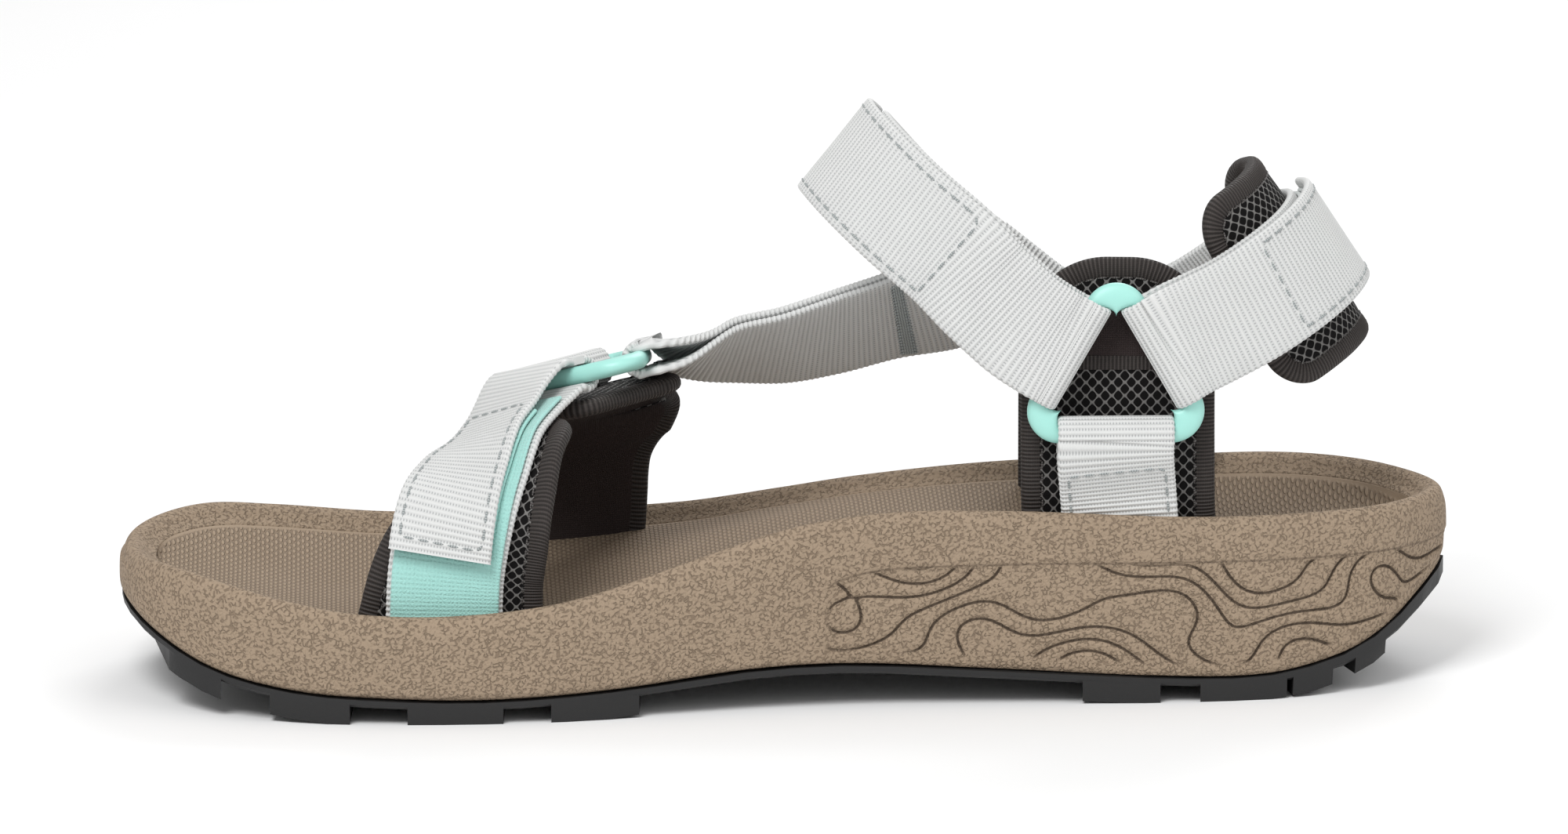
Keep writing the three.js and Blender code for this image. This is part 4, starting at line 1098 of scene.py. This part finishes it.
def stitches(name, on, line, height, finish, slot, body="sandal", long=2.3, pitch=3.0, thick=0.5):
    """Capsules along a line of (u, v) points, lying at the height n(u)."""
    line, far = even(np.array(line, float), 0.5)
    ends = np.arange(0.4, far[-1] - long * 0.6, pitch)
    at = [np.column_stack([np.interp(ends + k, far, line[:, c]) for c in (0, 1)]) for k in (0, long)]
    tips = [on.place(p[:, 0], p[:, 1] * on.bunched(p[:, 0]), height(p[:, 0])) for p in at]
    middle, d = (tips[0] + tips[1]) / 2, unit(tips[1] - tips[0])
    normal = on.frame((at[0][:, 0] + at[1][:, 0]) / 2)[3]
    side = unit(np.cross(d, normal))
    x = np.linspace(-1, 1, STITCH_ROWS)
    radius = np.sqrt(1 - np.abs(x) ** 2.4) * thick / 2 + 0.01
    a = np.linspace(0, 2 * np.pi, STITCH_SIDES, endpoint=False)
    reach = np.linalg.norm(tips[1] - tips[0], axis=1) / 2
    points = (middle[:, None, None] + d[:, None, None] * (x * reach[:, None])[:, :, None, None]
              + side[:, None, None] * (radius[:, None] * np.cos(a))[None, :, :, None]
              + normal[:, None, None] * (radius[:, None] * np.sin(a))[None, :, :, None])
    one = grid_faces(STITCH_ROWS, STITCH_SIDES, wrap=True)
    size = STITCH_ROWS * STITCH_SIDES
    faces = (one[None] + np.arange(len(ends))[:, None, None] * size).reshape(-1, 4)
    first = np.arange(STITCH_SIDES)
    caps = [c + size * k for k in range(len(ends)) for c in (first, size - 1 - first)]
    uv = np.stack(np.broadcast_arrays((x * reach[:, None])[:, :, None], np.zeros(STITCH_SIDES)), axis=3)
    made = make_piece(name, points.reshape(-1, 3), faces, caps=caps, uv=uv.reshape(-1, 2))
    return dress(made, finish, slot, body)


FROM_EDGE = 1.9  # a seam runs this far inside the webbing's edge
for key, start, stop in (("toe", toe_centre - 26, 28.2), ("instep", 40.5, 84.0), ("heel", 36.5, 70.0)):
    tab = TABS[key]
    low, high = (tab["shift"] + s * (tab["width"] / 2 - FROM_EDGE) for s in (-1, 1))
    seam = [(start, low), (stop, low), (stop, high), (start, high), (start, low)]
    stitches(key + "_tab_seam", tab["on"], seam, constant(TAB_MIDDLE + WEB_THICK / 2 + 0.06),
             "grey_thread", "webbing", key + "_tab_body")
on_anchor = {
    "inner": lambda u: settling(0, SEWN_DOWN, 14)(u) + WEB_THICK / 2 + 0.08,
    "outer": lambda u: settling(0, SEWN_DOWN, 7)(u) + WEB_THICK / 2 + 0.08,
}
edge, top = WEB_WIDTH / 2 - FROM_EDGE, 18.0
for side, on in (("inner", inner_ankle_band), ("outer", outer_ankle_band)):
    low = on.length - 16
    seam = [(low, -edge), (top, -edge), (top, edge), (low, edge)]
    stitches(f"ankle_{side}_seam", on, seam, on_anchor[side], "grey_thread", "webbing")

# %% [markdown]
# ## Pads
# A pad is foam between spacer mesh and a knit lining, bound all round. Its outline is drawn in u
# and v: two edges that vary along the band, with round corners. The foam is a closed form: rings
# of the outline shrink to its middle, and the thickness swells from the edge inwards. A pressure
# simulation needs a remesh of 4 mm, which is as thick as these pads, so the crown is a formula.

# %% Pad outlines
PAD_TOP = -WEB_THICK / 2 - GAP - 0.1
print("a pad's top lies", round(-PAD_TOP, 2), "mm under its strap's middle")


class Pad:
    """A pad's outline on its band, between low(u) and high(u), with rounded corners."""

    def __init__(self, name, on, start, stop, low, high, corner, open_end=False, skew=None):
        self.name, self.on, self.start, self.stop = name, on, start, stop
        self.low, self.high, self.corner, self.open_end = low, high, corner, open_end
        self.skew = skew or (lambda u: 0.0 * u)

    def outline(self, inset, spacing):
        """Points along the outline, drawn in by inset, evenly spaced, and their distance along it."""
        way = np.sign(self.stop - self.start)
        start = self.start + (0 if self.open_end else way * inset)
        stop = self.stop - way * inset
        r0, r1 = (max(1.0, r - inset) for r in self.corner)
        a = np.linspace(0, np.pi / 2, 24)
        begin = [start] if self.open_end else start + way * r0 * (1 - np.cos(a))
        finish = stop - way * r1 * (1 - np.cos(a[::-1]))
        middle = np.linspace(begin[-1], finish[0], 80)[1:-1]
        u = np.concatenate([begin, middle, finish])

        def cut(distance, radius):
            return radius - np.sqrt(np.maximum(0, radius**2 - np.maximum(0, radius - distance) ** 2))

        c = cut(way * (stop - u), r1)
        if not self.open_end:
            c = np.maximum(c, cut(way * (u - start), r0))
        low, high = self.low(u) + inset + c, self.high(u) - inset - c
        pinch = np.maximum(0, 1 - (high - low)) / 2
        path = np.concatenate([np.column_stack([u, low - pinch]),
                               np.column_stack([u, high + pinch])[::-1]])
        if not self.open_end:
            path = np.vstack([path, path[:1]])
        path[:, 0] += self.skew(path[:, 0]) * path[:, 1]
        return even(path, spacing)


def pillow(pad, name, inset, r, top, low):
    """Rings of the outline, drawn in by inset and shrunk by r, at the heights top and back at low."""
    path, _ = pad.outline(inset, 0.9)
    if pad.open_end:
        path = np.vstack([path, even(path[[-1, 0]], 0.9)[0][1:]])
    path = path[:-1]
    centre = (path.min(axis=0) + path.max(axis=0)) / 2
    radii, heights = np.concatenate([r, r[::-1]]), np.concatenate([top, low[::-1]])
    flat = centre + (path - centre)[None] * radii[:, None, None]
    points = pad.on.place(flat[..., 0], flat[..., 1], heights[:, None])
    return make_piece(pad.name + name, points.reshape(-1, 3),
                      grid_faces(len(radii), len(path), wrap=True), uv=flat.reshape(-1, 2), weld=True)


def foam_piece(pad):
    """The foam: its top is 0.5 (1 - r^4) higher in the middle, and its bottom 1.15 (1 - r^4) lower."""
    r = np.concatenate([np.linspace(0, 0.9, 19), [0.95, 0.985, 1.0]])
    top = PAD_TOP - 0.5 + 0.5 * (1 - r**4)
    low = PAD_TOP - 3.2 - 1.15 * (1 - r**4)
    top[-1] -= 0.5
    low[-1] += 0.5
    return pillow(pad, "_foam", 2.4, r, top, low)


def lining_piece(pad):
    """A knit sheet 0.4 mm thick on the foam's inner face, whose edge the binding holds."""
    r = np.linspace(0, 1, 16)
    deep = PAD_TOP - 3.5 - 1.15 * (1 - r**4)
    return pillow(pad, "_lining", 2.8, r, deep, deep + 0.4)


BINDING_SIDES, BINDING_RISE = 18, 1.75  # points round the binding, and half its height


def binding_piece(pad):
    """A flattened oval carried round the outline, which swells by 4.5 percent with every rib."""
    path, s = pad.outline(BINDING_WIDTH / 2, 0.26)
    if pad.open_end:
        d = np.gradient(path, axis=0)
    else:
        d = np.roll(path[:-1], -1, axis=0) - np.roll(path[:-1], 1, axis=0)
        d = np.vstack([d, d[:1]])
    d = unit(d)
    a = np.linspace(0, 2 * np.pi, BINDING_SIDES, endpoint=False)
    swell = 1 + 0.045 * np.cos(2 * np.pi * s / BINDING_RIB)[:, None]
    side = np.sign(np.cos(a)) * np.abs(np.cos(a)) ** 0.8 * BINDING_WIDTH / 2
    rise = np.sign(np.sin(a)) * np.abs(np.sin(a)) ** 0.8 * BINDING_RISE
    u = path[:, :1] + d[:, 1:] * side
    v = path[:, 1:] - d[:, :1] * side
    points = pad.on.place(u, v, PAD_TOP - 1.95 + rise * swell)
    uv = np.stack([np.broadcast_to(s[:, None], u.shape), np.broadcast_to(side, u.shape)], axis=2)
    last = (len(s) - 1) * BINDING_SIDES
    caps = [range(BINDING_SIDES), range(last + BINDING_SIDES - 1, last - 1, -1)] if pad.open_end else []
    return make_piece(pad.name + "_grosgrain", points.reshape(-1, 3),
                      grid_faces(len(s), BINDING_SIDES, wrap=True),
                      caps=caps, uv=uv.reshape(-1, 2), weld=not pad.open_end)


# %% Pads
pads = [
    Pad("forefoot_inner", toe_band, 4, 65, profile([(12, -17.5), (36, -12)]),
        profile([(4, 20), (30, 19), (46, 16.5), (64, 13.5)]), (0, 12), True,
        profile([(20, 0), (60, 0.2)])),
    Pad("forefoot_outer", outer_front_band, outer_front_band.length - 3, 15,
        profile([(12, -11), (50, -16), (88, -18)]),
        profile([(12, 18), (28, 18.6), (38, 20.8), (48, 24), (58, 27.4), (72, 19.5), (88, 16.5)]),
        (0, 7), True, profile([(18, 0.28), (76, 0)])),
    Pad("heel", heel_band, 29, heel_band.length - 47, constant(-21.5), constant(21.5), (9, 9)),
    Pad("ankle_inner", inner_pad_band, 7, inner_pad_band.length - 1.5, constant(-19.4),
        constant(19.4), (0, 17), True),
    Pad("ankle_outer", outer_pad_band, 7, outer_pad_band.length, constant(-19.4),
        constant(19.4), (0, 17), True),
]
for pad in pads:
    foam = dress(foam_piece(pad), "mesh", "mesh", stands_for=[pad.name + "_pad"])
    dress(lining_piece(pad), "lining", "mesh")
    dress(binding_piece(pad), "binding", "binding", stands_for=[pad.name + "_binding"])
    seam, _ = pad.outline(BINDING_WIDTH - 1.0, 1.0)
    stitches(pad.name + "_seam", pad.on, seam, constant(PAD_TOP - 0.32), "dark_thread", "binding",
             long=1.9, pitch=2.6, thick=0.42)

# %% [markdown]
# The inner ankle pad's mesh ends under the ring. A ribbed tape crosses it there, with plain knit
# above. Inside the instep, a dense zigzag tacks the end of the diagonal strap.

# %% Knit patch and bar tack
def sheet(name, on, u_range, half, low, high, turned=False):
    """A thin closed sheet on a band, from u to u, as wide as 2 half, between two heights."""
    u = np.linspace(*u_range, 20)
    v = np.linspace(-half, half, 30)
    section_v, section_n = np.concatenate([v, v[::-1]]), np.repeat([high, low], len(v))
    count = len(section_v)
    points = on.place(u[:, None], section_v, section_n)
    uv = np.stack(np.broadcast_arrays(u[:, None], section_v)[::-1 if turned else 1], axis=2)
    caps = [range(count), range(len(u) * count - 1, (len(u) - 1) * count - 1, -1)]
    return make_piece(name, points.reshape(-1, 3), grid_faces(len(u), count, wrap=True), caps=caps,
                      uv=uv.reshape(-1, 2), sharp=50)


KNIT_FROM, KNIT_TO = 53.0, 64.5
knit = (KNIT_FROM, KNIT_TO)
patch = sheet("ankle_inner_knit", inner_pad_band, knit, 12.4, PAD_TOP - 0.2, PAD_TOP + 0.14)
dress(patch, "lining", "mesh")
crossing = (KNIT_FROM - 1.8, KNIT_FROM + 1.0)
cross = sheet("ankle_inner_cross_tape", inner_pad_band, crossing, 13.6, PAD_TOP - 0.2, PAD_TOP + 0.3,
              turned=True)
dress(cross, "binding", "binding")
TACK_LONG, TACK_STEP, TACK_THREADS = 4.2, 0.42, 49
tack_end = diagonal_band.length - 8
zigzag = [(tack_end - TACK_LONG * (k % 2), -10.2 + k * TACK_STEP) for k in range(TACK_THREADS)]
thread = np.hypot(TACK_LONG, TACK_STEP)
stitches("diagonal_tack", diagonal_band, zigzag, constant(-WEB_THICK / 2 - 0.14), "grey_thread",
         "webbing", long=thread - 0.1, pitch=thread, thick=0.6)

# %% [markdown]
# ## Hidden shank
# The nylon shank lies in its pocket under the arch. It keeps its plain shape and gets a finish
# with a little mould grain.

# %% Shank
nylon = Finish("shank_nylon", Roughness=0.5)
grain = nylon.noise(nylon.place(), 900, 2.0)
black = nylon.mix(grain, (0.03, 0.03, 0.032, 1), (0.045, 0.045, 0.047, 1))
nylon.paint(black, 0.4 + grain * 0.2, grain, 0.03)
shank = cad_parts["shank"]
shank.data.materials.clear()
shank.data.materials.append(nylon.material)
print("shank_nylon on", shank.name)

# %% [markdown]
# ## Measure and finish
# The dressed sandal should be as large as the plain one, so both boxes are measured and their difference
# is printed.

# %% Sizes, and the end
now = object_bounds()
ends = zip([*cad_box[0], *cad_box[1]], [*now[0], *now[1]])
print("grown by, mm:", [round((b - a) / MM, 2) for a, b in ends])
